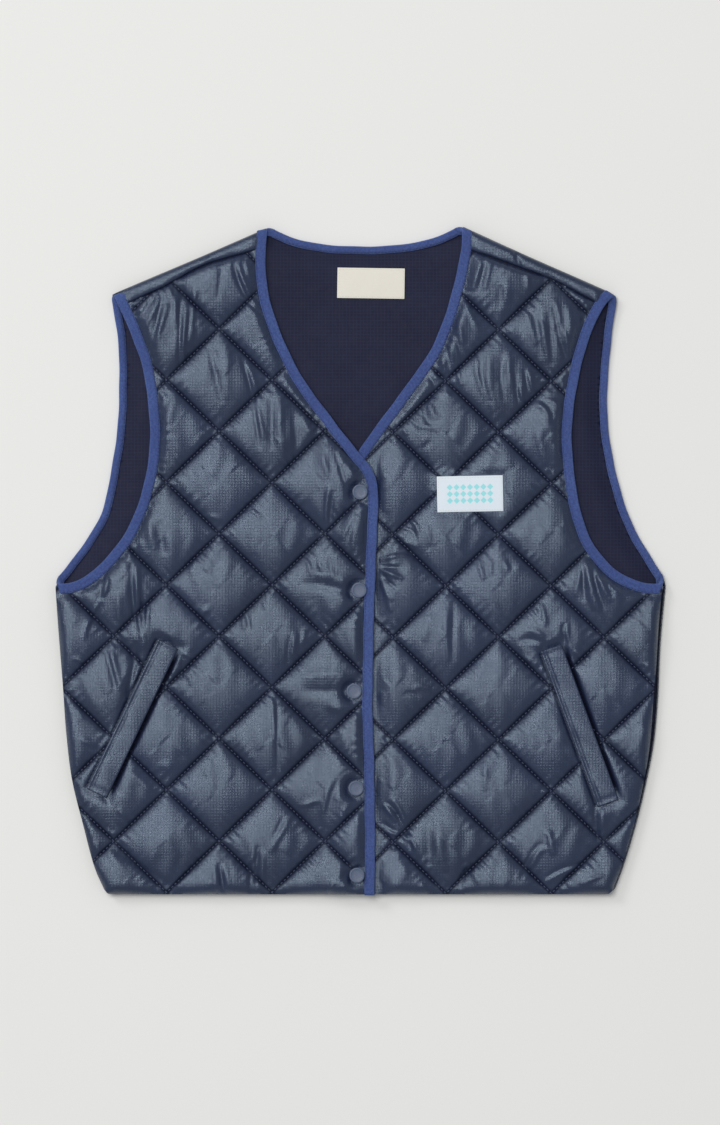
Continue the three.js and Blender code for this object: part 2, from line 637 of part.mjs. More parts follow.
addPiece("back_panel", backPanel(), lining);
for (const [name, front] of Object.entries(FRONTS)) addPiece(name, frontPanel(front), shell);
for (const [name, { line, side, width }] of Object.entries(BINDINGS)) {
  addPiece(name, carriedSection(line, side, tapeSection(width)), tape);
}
SNAPS.forEach((snap, index) => {
  addPiece(`snap_cap_${index + 1}`, snapCap(), snapMaterial, snap.x, snap.y, SNAP_SEAT + SEAM_GAP);
});
for (const { name, x, y, turn } of WELTS) {
  const welt = plateGeometry(WELT_WIDTH, WELT_LENGTH, WELT_HEIGHT, WELT_ROUND);
  addPiece(name, welt, shell, x, y, WELT_SEAT + SEAM_GAP, turn);
}
for (const [name, label, material] of [
  ["chest_label", CHEST_LABEL, labelWhite],
  ["neck_label", NECK_LABEL, labelCream],
]) {
  const geometry = plateGeometry(label.width, label.length, LABEL_HEIGHT, LABEL_ROUND);
  addPiece(name, geometry, material, label.x, label.y, label.seat + SEAM_GAP, label.turn);
}

export default vest;
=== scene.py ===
import math

import bpy
import numpy as np
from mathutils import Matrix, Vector
from mathutils.bvhtree import BVHTree
from mathutils.geometry import delaunay_2d_cdt


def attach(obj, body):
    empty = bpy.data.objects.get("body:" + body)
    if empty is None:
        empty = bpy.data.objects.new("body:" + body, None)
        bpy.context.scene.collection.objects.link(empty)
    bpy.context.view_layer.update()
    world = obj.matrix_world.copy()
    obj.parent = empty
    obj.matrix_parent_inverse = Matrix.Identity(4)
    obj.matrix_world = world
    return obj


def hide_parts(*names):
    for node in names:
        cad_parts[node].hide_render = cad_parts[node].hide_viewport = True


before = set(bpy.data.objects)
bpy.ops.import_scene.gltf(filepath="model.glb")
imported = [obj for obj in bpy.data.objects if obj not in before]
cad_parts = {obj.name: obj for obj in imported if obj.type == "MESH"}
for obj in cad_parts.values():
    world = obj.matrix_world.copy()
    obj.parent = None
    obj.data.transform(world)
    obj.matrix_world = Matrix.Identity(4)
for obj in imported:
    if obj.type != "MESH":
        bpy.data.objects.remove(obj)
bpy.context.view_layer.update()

MILLIMETRE = 0.001
CENTRE = np.array([-0.3, 0.4, 0.0])

# Layers, from the surface it lies on upwards
BACK_TOP = 6.0
LINING_BOTTOM = 6.1
LINING_TOP = 7.0
FRONT_INSIDE = 7.3
TONGUE_LOW = 1.35
TONGUE_HIGH = 2.75
GROOVE_THICKNESS = 2.6
PUFF_HEIGHT = 7.2
FREE_EDGE_THICKNESS = 2.4
STRIP_TOP = 12.5

# Quilting: diamonds stitched along two families of slanted lines
DIAMOND_WIDTH = 97.0
DIAMOND_HEIGHT = 94.3
DIAMOND_SIDE = 67.6
PUFF_FULLNESS = 0.42
EDGE_ROLL = 11.0
SEAM_ROLL = 5.0
BINDING_ROLL = 7.5
LATTICE_LEFT = (-81.0, -23.0)
LATTICE_RIGHT = (79.1, -23.9)

# Bias tape folded round the raw edges
TAPE_WIDTH = 9.4
BACK_TAPE_WIDTH = 7.2
TAPE_HEIGHT = 4.4
TAPE_WALL = 1.0
RAW_EDGE = 1.3
BACK_BEVEL_TO = 24.0

# The placket: the left front lies over the right front at the centre
OVERLAP_LIFT = 4.7
LIFT_FROM = -41.0
LIFT_TO = -14.0
UNDERLAP_FLAT_TO = 16.0
UNDERLAP_FULL_AT = 31.0
UNDERLAP_THICKNESS = 3.5

HEM = -307.6
HEM_CORNER = 4.0
BACK_INSET = 1.5

SNAP_RADIUS = 7.0
SNAP_TOP = 18.9
SNAP_SEAT = 15.2
SNAP_DIMPLE = 8.0
SNAP_DIMPLE_FADE = 8.0
SNAPS = [(0.0, 62.6), (-0.9, -27.6), (-5.5, -120.5), (-3.7, -209.8), (-2.8, -289.8)]
PLATE_FADE = 9.0

# Puckers beside seams, upright folds within the diamonds and the pockets' slits
PUCKER_PITCH = 7.2
PUCKER_REACH = 2.6
QUILT_PUCKER = 0.8
BOUND_PUCKER = 0.7
CREASE_SCALE = 1.15
UPRIGHT_PITCH = 19.0
UPRIGHT_FOLD = 0.38
SLIT_OFF = 1.5
SLIT_HALF = 1.7
SLIT_DEPTH = 3.6
FURROW_OFF = 0.9
FURROW_HALF = 1.1
FURROW_DEPTH = 1.4

# Sewn-on pieces: middle, turn, size and the height of the cloth under them
WELT_LEFT = {
    "x": -209.4, "y": -145.8, "turn": -0.445, "width": 20.5, "length": 152.0, "seat": 13.3,
    "slit": True}
WELT_RIGHT = {
    "x": 201.9, "y": -152.3, "turn": 0.351, "width": 20.5, "length": 152.0, "seat": 13.3,
    "slit": True}
CHEST_LABEL = {
    "x": 101.2, "y": 60.9, "turn": 0.02, "width": 60.7, "length": 33.0, "seat": 14.5,
    "slit": False}
NECK_LABEL = {
    "x": 10.1, "y": 254.8, "turn": -0.015, "width": 62.0, "length": 28.0, "seat": 7.1,
    "slit": False}

# Finished edges, each from the shoulder downwards
NECK_EDGE_OVER = [
    (-84.6, 306), (-86.9, 285.2), (-84.6, 248.4), (-73.6, 210.7), (-53.4, 169.3), (-23.9, 127.9),
    (-4.6, 103.5), (9.2, 86.5), (15.2, 72.7), (16.8, 56), (14.7, 0), (12.4, -73.6),
    (11.7, -142.6), (13.4, -200), (13.8, -290), (13.6, -308.4),
]
NECK_EDGE_UNDER = [
    (93.8, 307), (92.9, 285.2), (87.4, 257.6), (78.2, 225.4), (64.4, 192.3), (43.2, 161.9),
    (20.2, 130.6), (-1.8, 99.4), (-12.9, 79), (-15.6, 55), (-15.6, 0), (-15.6, -100),
    (-15.6, -200), (-15.6, -307.2),
]
ARMHOLE_FRONT_LEFT = [
    (-227.2, 245.2), (-219, 227.2), (-208.8, 202.4), (-199.6, 174.8), (-194.6, 139.8),
    (-193.4, 114.1), (-195.5, 86.5), (-202.4, 57), (-215.3, 26.7), (-232.8, 2.8),
    (-253.9, -15.6), (-268.6, -21), (-280.4, -21.6),
]
ARMHOLE_FRONT_RIGHT = [
    (235.5, 244.3), (224.5, 233.2), (212.5, 207.9), (203.3, 176.6), (197.3, 145.4), (195, 115),
    (196.9, 82.8), (201.5, 52.4), (213.4, 17.5), (234.6, -8.3), (257.6, -19.8), (280, -22.1),
]
# The back's edges carry the height of the tape's foot as well
ARMHOLE_BACK_LEFT = [
    (-229.5, 244.3, 2.6), (-225.9, 222.6, 0.8), (-222.6, 197.8, 0), (-221.7, 167.4, 0),
    (-223.6, 121.4, 0), (-229.1, 82.8, 0), (-238.3, 43.2, 0), (-252.1, 18.4, 0),
    (-270.5, -6.4, 1.2), (-281, -18.4, 2.6),
]
ARMHOLE_BACK_RIGHT = [
    (236.9, 242.9, 2.6), (230.9, 197.8, 0.4), (227.7, 151.8, 0), (230, 110.4, 0),
    (239.2, 67.2, 0), (252.1, 30.4, 0), (268.6, 1.8, 0.6), (281.3, -17.5, 2.6),
]
NECK_EDGE_BACK = [
    (-83.6, 306.4, 2.6), (-62.6, 297.2, 0.8), (-33.1, 290.7, 0), (1.8, 288.9, 0),
    (37.7, 290.7, 0), (65.3, 295.8, 0.8), (92.4, 307.6, 2.6),
]

# Folded and sewn edges
SIDE_LEFT = [
    (-279.9, -31.4), (-277.8, -61.6), (-273.2, -119.6), (-270.5, -158.2), (-265, -202.4),
    (-254.8, -243.8), (-243.8, -284.3), (-235.5, -303),
]
SIDE_RIGHT = [
    (281.6, -24), (276.9, -76.4), (274.2, -132.5), (270.5, -170.2), (263.1, -207.9),
    (254.8, -242), (243.8, -278.8), (235, -303),
]
SIDE_SEAM_RIGHT = [
    (277.4, -31.6), (275.1, -58), (272.8, -95.7), (270.5, -123.3), (266.8, -170.2),
    (260.6, -207.9), (252.8, -242), (242, -278.8), (233, -303),
]
SHOULDER_FOLD_LEFT = [(-229.2, 244.3), (-207.9, 253.5), (-147.2, 279.2), (-84.6, 306.4)]
SHOULDER_FOLD_RIGHT = [(237.2, 243.4), (208.8, 256.2), (156.4, 279.2), (93.8, 307.6)]
SHOULDER_SEAM_LEFT = [(-217, 234.6), (-180, 252), (-145.4, 270.5), (-120, 278.6), (-86, 288)]
SHOULDER_SEAM_RIGHT = [(228, 231), (173.9, 259.4), (148.1, 268.6), (120, 279), (93, 287.6)]

# Folds in the cloth: middle, direction in radians, half length along it, half width, and
# height, above zero for a ridge and below for a trough
BROAD_FOLDS_LEFT = [
    (-168, 196, 1.1, 34, 7, 1.6), (-188, 214, 1.35, 26, 6, -1.3), (-150, 238, -0.5, 30, 7, 1.2),
    (-104, 240, 1.2, 34, 7, 1.5), (-92, 205, 1.35, 30, 6, -1.2), (-34, 92, 1.45, 40, 8, 1.4),
    (-50, 60, 1.5, 36, 7, -1.1), (-211, -20, 1.45, 34, 7, 1.6), (-204, -70, -1.2, 32, 7, 1.3),
    (-24, -46, 0.9, 26, 8, 1.2), (-126, -288, 1.5, 26, 6, -1.4), (-98, -286, 1.6, 26, 6, 1.3),
    (-180, -260, 0.7, 34, 8, 1.1), (-60, -176, 1.2, 34, 8, 0.9),
]
BROAD_FOLDS_RIGHT = [
    (152, 205, 1.45, 34, 7, 1.4), (96, 222, -1.35, 34, 7, 1.3), (66, 160, 1.2, 28, 7, -1.2),
    (170, 120, 1.5, 36, 8, 1.1), (226, -24, 1.9, 32, 7, 1.5), (40, 12, 0.8, 26, 7, 1.4),
    (38, -250, 0.9, 28, 7, 1.4), (98, -290, 1.5, 24, 6, -1.3), (152, -288, 1.6, 26, 6, 1.3),
    (190, -276, -0.8, 36, 8, 1.5), (216, -256, 1.5, 30, 7, -1), (112, -150, 1.5, 34, 8, 0.9),
]

# Creases: from, to, how far the middle bows sideways, half width, and height as above
CREASES_LEFT = [
    (-163, 254, -167, 216, 0, 2.2, -1.4), (-165, 226, -166, 173, 0, 2, -1.7),
    (-159, 236, -164, 178, 0, 3, 1.6), (-155, 234, -161, 191, 0, 1.7, -1.2),
    (-151, 254, -156, 198, 0, 3, 1.4), (-148, 247, -153, 212, 0, 1.8, -1.1),
    (-175, 252, -169, 213, 2, 2.6, 1.4), (-170, 254, -174, 230, 0, 1.7, -1),
    (-177, 236, -189, 197, 0, 2.6, 1.5), (-181, 247, -190, 202, 0, 1.8, -1.3),
    (-184, 241, -198, 213, 0, 2.2, 1.2), (-186, 247, -202, 223, 0, 1.7, -1.1),
    (-197, 243, -201, 230, 0, 1.7, 0.8), (-127, 270, -131, 239, 0, 2, -0.9),
    (-117, 274, -101, 237, -2, 2.2, -1.7), (-112, 274, -97, 237, -2, 2.2, 1.6),
    (-101, 237, -88, 223, 0, 2, -1.5), (-98, 236, -86, 223, 0, 1.8, 1.1),
    (-105, 276, -102, 261, 0, 2, 1), (-139, 198, -127, 143, 0, 3, -1),
    (-133, 193, -131, 173, 0, 3, 0.8), (-121, 207, -121, 147, -2, 4.5, 0.9),
    (-110, 189, -98, 138, 2, 2.2, -1.4), (-105, 182, -94, 143, 2, 3, 1.3),
    (-167, 158, -179, 101, -3, 5, 1.1), (-173, 161, -183, 129, 0, 3, -0.8),
    (-143, 120, -151, 101, 0, 4, 0.8), (-98, 145, -92, 101, 0, 2, -1.2),
    (-95, 143, -88, 110, 0, 2.4, 1), (-82, 152, -81, 101, 0, 3, -1.1),
    (-73, 158, -69, 87, -2, 4, 1.5), (-62, 143, -58, 92, 0, 3.4, -1.3),
    (-52, 138, -42, 110, -2, 4, 1.4), (-37, 124, -32, 110, 0, 2, 1), (-23, 101, -12, 64, 0, 2, -1.3),
    (-13, 90, -6, 69, 2, 2, 1.2), (-28, 69, -30, 28, -2, 2, 1.4), (-24, 64, -28, 32, 0, 2, -1.1),
    (-35, 97, -28, 74, 0, 3, 1), (-5, 44, -17, 18, 0, 3, 1.3), (-11, 51, -20, 28, 0, 2.2, -1),
    (-4, 37, -7, 9, 0, 2.4, 0.9), (-195, 41, -191, 9, 0, 4, 1.3), (-184, 37, -179, 4, -2, 4, -1.1),
    (-209, 18, -213, 0, 0, 2, 1.4), (-204, 14, -206, -5, 0, 1.8, -1.2),
    (-225, 55, -216, 44, 0, 2, 0.9), (-210, 0, -204, -69, -2, 3, -1.9),
    (-205, -2, -201, -74, -2, 2.2, 1.7), (-201, -18, -197, -74, 0, 2, -1.3),
    (-193, -28, -200, -83, 0, 2.4, 1.4), (-207, -74, -216, -129, 3, 3.4, -2.1),
    (-204, -85, -211, -120, 2, 2.5, 1.4), (-223, -28, -219, -74, 0, 4, 1.1),
    (-236, -74, -224, -120, 0, 2.5, -1.1), (-230, -79, -220, -120, 0, 3, 1.2),
    (-230, -9, -236, -34, 0, 2, 1.3), (-234, -11, -240, -37, 0, 2, -1.3),
    (-242, -41, -254, -74, -2, 2.2, 1.3), (-237, -39, -250, -66, 0, 2, -1.1),
    (-265, -90, -250, -95, 0, 2, 1), (-258, -164, -242, -171, 0, 3, 0.9),
    (-262, -129, -254, -147, 0, 3, 0.8), (-165, -83, -147, -90, -3, 1.5, 0.9),
    (-163, -87, -164, -110, 0, 1.7, -1.1), (-157, -96, -156, -116, 0, 2, 1),
    (-169, -99, -175, -112, 0, 2, 0.9), (-57, -22, -4, -34, 4, 4.5, -1.4),
    (-51, -12, -9, -22, 3, 5, 1), (-49, 2, -45, -14, 0, 1.7, 1), (-28, 2, -26, -15, 0, 2, 0.9),
    (-39, 0, -35, -11, 0, 1.7, -0.8), (-64, -69, -67, -99, 0, 2.5, -1.1),
    (-59, -64, -63, -92, 0, 3, 1.1), (-51, -64, -53, -79, 0, 2, 0.9),
    (-55, -120, -9, -121, 0, 5, -1.5), (-55, -109, -13, -106, 2, 5, 1.1),
    (-32, -133, -9, -140, 0, 4, 0.9), (-81, -124, -78, -166, 0, 2, 1.1),
    (-76, -129, -76, -202, 0, 1.7, -0.9), (-14, -191, -35, -248, -3, 5, -1.3),
    (-24, -198, -35, -245, -2, 3, 1.1), (-57, -227, -35, -220, 0, 2.5, 0.9),
    (-18, -241, -9, -221, 0, 3, 0.9), (-94, -262, -97, -305, 0, 2, -1.7),
    (-89, -267, -90, -302, 0, 2.5, 1.2), (-130, -278, -125, -308, 0, 2, -1.9),
    (-124, -278, -120, -305, 0, 2.2, 0.9), (-134, -281, -131, -305, 0, 2.6, 0.8),
    (-101, -278, -101, -308, 0, 2, -1.8), (-63, -235, -83, -269, 0, 2.5, 1.1),
    (-70, -235, -79, -256, 0, 2.2, -0.9), (-212, -193, -192, -213, 0, 4, 1.1),
    (-223, -228, -213, -241, 0, 2.5, 1), (-239, -248, -220, -254, 0, 2, 0.9),
    (-236, -262, -212, -292, 0, 4, 1), (-228, -265, -173, -300, 0, 3, -1),
    (-158, -285, -171, -304, 0, 4, 1.2), (-9, -285, -15, -303, 0, 2.5, 1.1),
    (-24, -294, -29, -306, 0, 2.2, 1), (-243, -259, -239, -272, 0, 2.4, 0.9),
    (-143, -41, -147, -74, -3, 4, 0.7), (-156, -46, -136, -48, 0, 3, 0.6),
    (-142, 41, -127, 37, 0, 2.4, 0.7), (-101, 46, -90, 39, 0, 2, 0.8),
    (-151, 5, -156, -14, 0, 3, 0.8), (-90, -28, -87, -46, 0, 1.8, -0.9),
    (-104, -48, -101, -66, 0, 1.8, -1), (-108, -51, -107, -64, 0, 1.8, 0.9),
    (-186, -189, -173, -191, 0, 5, 0.7),
]
CREASES_RIGHT = [
    (112, 278, 103, 248, 0, 2.2, 1.3), (116, 276, 108, 244, 0, 1.7, -1.1),
    (120, 274, 115, 248, 0, 2, 1), (129, 253, 128, 230, 0, 3, -0.9),
    (134, 262, 137, 235, 0, 4, 0.9), (153, 269, 155, 248, 0, 2, 1.1),
    (96, 239, 109, 210, 0, 2.4, 1.1), (90, 223, 95, 197, 0, 2, 0.9),
    (86, 212, 95, 182, 0, 1.8, -1.3), (83, 198, 85, 168, 0, 2.2, 1.3),
    (88, 182, 93, 160, 0, 2, 1.2), (79, 198, 85, 173, 0, 1.7, -1), (74, 193, 79, 170, 0, 2, 1.1),
    (66, 175, 75, 161, 0, 1.8, 1.2), (63, 171, 70, 158, 0, 1.6, -1.1),
    (78, 162, 86, 149, -3, 2.4, 1.3), (106, 189, 118, 147, -3, 3, 1),
    (111, 182, 121, 143, -3, 2.4, -0.9), (119, 198, 126, 120, -3, 4, 1.2),
    (131, 186, 133, 145, -2, 2.4, -1), (137, 193, 141, 158, -2, 3, 1.2),
    (142, 173, 146, 142, 0, 2.2, -1.2), (147, 161, 150, 142, 0, 2, 1.3),
    (155, 175, 159, 155, 0, 2.4, 1.3), (151, 177, 155, 154, 0, 2, -1.1),
    (152, 232, 162, 197, 0, 4, 1.1), (160, 230, 168, 184, 0, 3.4, -1),
    (167, 239, 174, 182, -2, 4, 1.1), (174, 230, 177, 178, 0, 3, -1.1),
    (179, 241, 185, 204, 0, 3, 1), (178, 235, 184, 201, 0, 2, -1.5),
    (183, 204, 190, 183, 0, 1.7, -1.5), (188, 213, 194, 185, 0, 1.8, 1.5),
    (191, 236, 196, 193, 0, 3, 1.1), (201, 239, 207, 215, 0, 2, -1), (159, 144, 176, 131, 3, 3, 1.2),
    (166, 148, 178, 124, 3, 2.4, -1.1), (172, 148, 185, 134, 3, 2.5, 1.1),
    (163, 120, 171, 86, 0, 4, 1), (179, 107, 185, 91, 0, 2.2, 1.1), (176, 83, 182, 72, 0, 1.8, 1),
    (64, 149, 71, 129, -2, 3, 1.1), (59, 144, 65, 123, -2, 2.4, -1), (39, 125, 43, 114, 0, 1.7, 1.1),
    (55, 99, 65, 110, 0, 2.4, -0.9), (49, 125, 74, 120, 0, 3, 0.8), (26, 89, 22, 44, -3, 5, 1.1),
    (21, 66, 18, 40, 0, 2.6, -0.9), (17, 94, 18, 75, 0, 2, 1), (40, 38, 54, 24, 4, 1.8, 1.1),
    (37, 30, 52, 16, 5, 1.8, -1), (61, 33, 65, 13, 0, 3, 0.9), (22, 37, 18, 23, 0, 2.4, 0.9),
    (18, 0, 36, 5, 0, 2, 1.4), (18, -9, 40, -17, 0, 2.2, 1.6), (18, -6, 38, -7, 0, 1.7, -1.4),
    (20, -17, 30, -38, -2, 2, 1.2), (19, -13, 34, -27, 0, 1.8, -1.3), (23, -29, 29, -48, 0, 2, 0.9),
    (29, 14, 53, 11, 3, 2.4, 0.9), (33, 7, 53, -2, 4, 2, -0.9), (80, -44, 82, -94, -2, 3, 1.2),
    (86, -37, 85, -94, 0, 2.6, -1.1), (102, -35, 108, -61, 0, 2.5, 0.9),
    (64, -49, 59, -75, 0, 4, 0.8), (109, -3, 114, -19, 0, 2, 1.1), (120, 1, 120, -15, 0, 2, 1),
    (133, 0, 137, -11, 0, 1.8, 0.8), (167, -40, 171, -61, 0, 2, 1.2),
    (160, -39, 163, -52, 0, 1.8, 0.9), (145, -74, 172, -79, 3, 3, -1.1),
    (149, -66, 170, -71, 3, 3, 0.9), (147, -87, 162, -97, 0, 2.2, 0.9),
    (204, 0, 207, -39, 0, 2, -1.4), (208, 0, 220, -48, -2, 3, 1.7), (213, 2, 225, -46, -2, 2, -1.5),
    (215, 3, 231, -39, -2, 2.6, 1.4), (205, -2, 197, -34, 0, 3, 1.1), (222, -7, 241, -39, 0, 3, 1),
    (218, -5, 233, -34, 0, 2, -1), (210, -28, 215, -46, 0, 2, 0.8), (191, -55, 194, -84, -2, 2, 1.1),
    (187, -57, 192, -79, -2, 1.8, -1), (197, -83, 212, -92, 0, 2, 0.9),
    (258, -96, 269, -104, 3, 2, 0.9), (265, -118, 269, -131, 0, 2, 0.8),
    (216, -226, 218, -259, 0, 2, -1.5), (222, -228, 224, -254, 0, 3, 1.2),
    (239, -144, 247, -155, 0, 2, 0.8), (21, -224, 34, -241, 0, 1.8, 1.4),
    (24, -222, 39, -245, 2, 1.6, -1.5), (29, -219, 41, -242, 2, 1.7, 1.2),
    (20, -241, 34, -251, 0, 1.7, -1.2), (23, -250, 40, -254, 0, 1.8, 1.3),
    (35, -243, 47, -268, 3, 1.8, -1.4), (40, -254, 52, -273, 4, 2, 1.3),
    (26, -262, 38, -268, 0, 2, 1), (29, -256, 26, -272, 0, 1.7, -1),
    (64, -233, 63, -282, 0, 5, -1.3), (72, -239, 79, -287, -2, 5, 1.1),
    (40, -278, 44, -294, 0, 4, 0.8), (173, -247, 178, -272, 0, 3, 1.4),
    (167, -259, 148, -296, -3, 3, -1.3), (171, -263, 157, -284, -3, 3, 1.2),
    (213, -282, 166, -300, -4, 3, 1.3), (208, -280, 170, -294, -4, 2.2, -1.1),
    (224, -289, 202, -298, 0, 2.4, 1), (98, -282, 91, -303, 0, 2, -1.3),
    (103, -282, 109, -298, 0, 3, 0.9), (94, -283, 101, -279, 0, 2, 0.9),
    (55, -298, 63, -305, 0, 2.4, 1), (115, -184, 114, -213, 0, 3, 0.9),
    (109, -170, 107, -193, 0, 3, -0.6), (48, -118, 66, -121, 3, 3, 0.8),
    (40, -123, 55, -128, 3, 2.4, -0.7), (21, -120, 18, -134, 0, 3, 0.8),
    (129, 41, 147, 18, 0, 4, 0.7), (143, -9, 156, 4, 0, 2.6, 0.8),
    (239, -294, 258, -258, -4, 5, 0.7),
]


def smooth(value):
    """0 to 1 with no corner at either end."""
    held = np.clip(value, 0.0, 1.0)
    return held * held * (3.0 - 2.0 * held)


def rounded(value):
    """The rise of a quarter circle from 0 to 1."""
    held = np.clip(value, 0.0, 1.0)
    return np.sqrt(1.0 - (1.0 - held) ** 2)


def placed(points):
    """Millimetres of the tables to metres of the frame."""
    return (np.asarray(points, float) + CENTRE) * MILLIMETRE


def along_of(points):
    """Length run up to each point of a line."""
    steps = np.linalg.norm(np.diff(points, axis=0), axis=1)
    return np.concatenate([[0.0], np.cumsum(steps)])


def respaced(points, step):
    """The same line with points in equal steps."""
    run = along_of(points)
    count = max(2, int(round(run[-1] / step)))
    wanted = np.linspace(0.0, run[-1], count + 1)
    return np.stack([np.interp(wanted, run, column) for column in points.T], axis=1)


def edge_line(rows, step):
    """A smooth line through the rows: the centripetal curve between each two."""
    rows = np.array(rows, float)
    ends = np.vstack([2 * rows[0] - rows[1], rows, 2 * rows[-1] - rows[-2]])
    fine = [rows[:1]]
    for a, b, c, d in zip(ends, ends[1:], ends[2:], ends[3:]):
        roots = [math.sqrt(np.linalg.norm(q - p)) for p, q in ((a, b), (b, c), (c, d))]
        knots = np.cumsum([0.0] + roots)
        t = np.linspace(knots[1], knots[2], 13)[1:, None]
        blend = lambda p, q, low, high: (p * (high - t) + q * (t - low)) / (high - low)
        first = blend(a, b, knots[0], knots[1])
        second = blend(b, c, knots[1], knots[2])
        third = blend(c, d, knots[2], knots[3])
        early = blend(first, second, knots[0], knots[2])
        late = blend(second, third, knots[1], knots[3])
        fine.append(blend(early, late, knots[1], knots[2]))
    return respaced(np.vstack(fine), step)


def ringed(outline):
    """An outline with its first point again at the end."""
    return np.vstack([outline, outline[:1]])


def directions(line):
    """The way that a line runs at each of its points, seen from above."""
    along = np.gradient(line[:, :2], axis=0)
    return along / np.linalg.norm(along, axis=1)[:, None]


def moved_line(line, distance):
    """The same line moved sideways, to its left where distance is above zero."""
    along = directions(line)
    moved = line.copy()
    moved[:, 0] -= along[:, 1] * distance
    moved[:, 1] += along[:, 0] * distance
    return moved


def nearest_on(line, points):
    """Distance of each point to a line, and how far along the line that is."""
    best = np.full(len(points), np.inf)
    where = np.zeros(len(points))
    run = along_of(line[:, :2])
    for start, a, b in zip(run, line[:-1, :2], line[1:, :2]):
        way = b - a
        length = np.linalg.norm(way)
        share = np.clip(((points - a) @ way) / (length * length), 0.0, 1.0)
        away = np.linalg.norm(points - a - share[:, None] * way, axis=1)
        nearer = away < best
        best[nearer] = away[nearer]
        where[nearer] = start + share[nearer] * length
    return best, where


def distance_to(lines, points):
    return np.min([nearest_on(line, points)[0] for line in lines], axis=0)


def inside(outline, points):
    """Whether each point lies inside a closed outline."""
    crossed = np.zeros(len(points), bool)
    x, y = points[:, 0], points[:, 1]
    for a, b in zip(outline, np.roll(outline, -1, axis=0)):
        if a[1] == b[1]:
            continue
        level = (a[1] > y) != (b[1] > y)
        crossed ^= level & (x < (b[0] - a[0]) * (y - a[1]) / (b[1] - a[1]) + a[0])
    return crossed


SEAM_RUN_ON = 30.0


def long_seam(rows, step=4.0):
    """A shoulder seam run on a little past both its ends, from left to right."""
    line = edge_line(sorted(rows), step)
    first = line[0] + (line[0] - line[1]) / np.linalg.norm(line[0] - line[1]) * SEAM_RUN_ON
    last = line[-1] + (line[-1] - line[-2]) / np.linalg.norm(line[-1] - line[-2]) * SEAM_RUN_ON
    return np.vstack([first, line, last])


def below_seam(line, seam, gap=0.3):
    level = np.interp(line[:, 0], seam[:, 0], seam[:, 1])
    return line[line[:, 1] < level - gap]


def seam_between(seam, low, high):
    return seam[(seam[:, 0] > low) & (seam[:, 0] < high)]


STEP = 3.0
neck_over = edge_line(NECK_EDGE_OVER, STEP)
neck_under = edge_line(NECK_EDGE_UNDER, STEP)
armhole_left = edge_line(ARMHOLE_FRONT_LEFT, STEP)
armhole_right = edge_line(ARMHOLE_FRONT_RIGHT, STEP)
back_armhole_left = edge_line(ARMHOLE_BACK_LEFT, STEP)
back_armhole_right = edge_line(ARMHOLE_BACK_RIGHT, STEP)
neck_back = edge_line(NECK_EDGE_BACK, STEP)
side_left = edge_line(SIDE_LEFT, STEP)
side_right = edge_line(SIDE_RIGHT, STEP)
side_seam_right = edge_line(SIDE_SEAM_RIGHT, STEP)
fold_left = edge_line(SHOULDER_FOLD_LEFT, STEP)
fold_right = edge_line(SHOULDER_FOLD_RIGHT, STEP)
seam_left = long_seam(SHOULDER_SEAM_LEFT)
seam_right = long_seam(SHOULDER_SEAM_RIGHT)


def joined(*lines):
    """One closed outline, anticlockwise, from lines that follow each other."""
    outline = np.vstack([np.atleast_2d(line)[:, :2] for line in lines])
    x, y = outline[:, 0], outline[:, 1]
    area = np.sum(x * np.roll(y, -1) - np.roll(x, -1) * y)
    return outline if area > 0 else outline[::-1]


def front_left_outline():
    neck = below_seam(moved_line(neck_over, -RAW_EDGE), seam_left)
    armhole = below_seam(moved_line(armhole_left, RAW_EDGE), seam_left)
    seam = seam_between(seam_left, armhole[0, 0], neck[0, 0])
    hem_corner = (SIDE_LEFT[-1][0] + HEM_CORNER, HEM)
    neck[-1, 1] = HEM
    return joined(seam[::-1], armhole, side_left, hem_corner, neck[::-1])


def front_right_outline():
    neck = below_seam(moved_line(neck_under, RAW_EDGE), seam_right)
    armhole = below_seam(moved_line(armhole_right, -RAW_EDGE), seam_right)
    seam = seam_between(seam_right, neck[0, 0], armhole[0, 0])
    hem_corner = (SIDE_SEAM_RIGHT[-1][0] - HEM_CORNER, HEM)
    neck[-1, 1] = HEM
    return joined(neck, hem_corner, side_seam_right[::-1], armhole[::-1], seam[::-1])


def back_outline(inset):
    """The back's outline, shoulders included, drawn in by inset all round."""
    left_corner = (SIDE_LEFT[-1][0] + HEM_CORNER + inset, HEM + BACK_INSET + inset)
    right_corner = (SIDE_RIGHT[-1][0] - HEM_CORNER - inset, HEM + BACK_INSET + inset)
    return joined(
        moved_line(neck_back, -RAW_EDGE - inset)[::-1],
        moved_line(fold_left, -inset)[::-1][2:-2],
        moved_line(back_armhole_left, RAW_EDGE + inset),
        moved_line(side_left, BACK_INSET + inset),
        left_corner,
        right_corner,
        moved_line(side_right, -inset)[::-1],
        moved_line(back_armhole_right, -RAW_EDGE - inset)[::-1],
        moved_line(fold_right, inset)[2:-2],
    )


def lift_at(x):
    return OVERLAP_LIFT * smooth((x - LIFT_FROM) / (LIFT_TO - LIFT_FROM))


def plate_spots(plate, across, along):
    """Where places given across and along a sewn-on piece lie on the vest."""
    cos, sin = math.cos(plate["turn"]), math.sin(plate["turn"])
    x = plate["x"] + across * cos - along * sin
    y = plate["y"] + across * sin + along * cos
    return np.stack([x, y], axis=1)


def plate_row(plate, share, reach):
    """A line along a sewn-on piece's length, at a share of its width from the middle."""
    along = np.linspace(-0.5, 0.5, 12) * plate["length"] * reach
    return plate_spots(plate, np.full(12, share * plate["width"]), along)


def plate_end(plate, share, reach):
    """A line across a sewn-on piece, at a share of its length from the middle."""
    across = np.linspace(-0.5, 0.5, 12) * plate["width"] * reach
    return plate_spots(plate, across, np.full(12, share * plate["length"]))


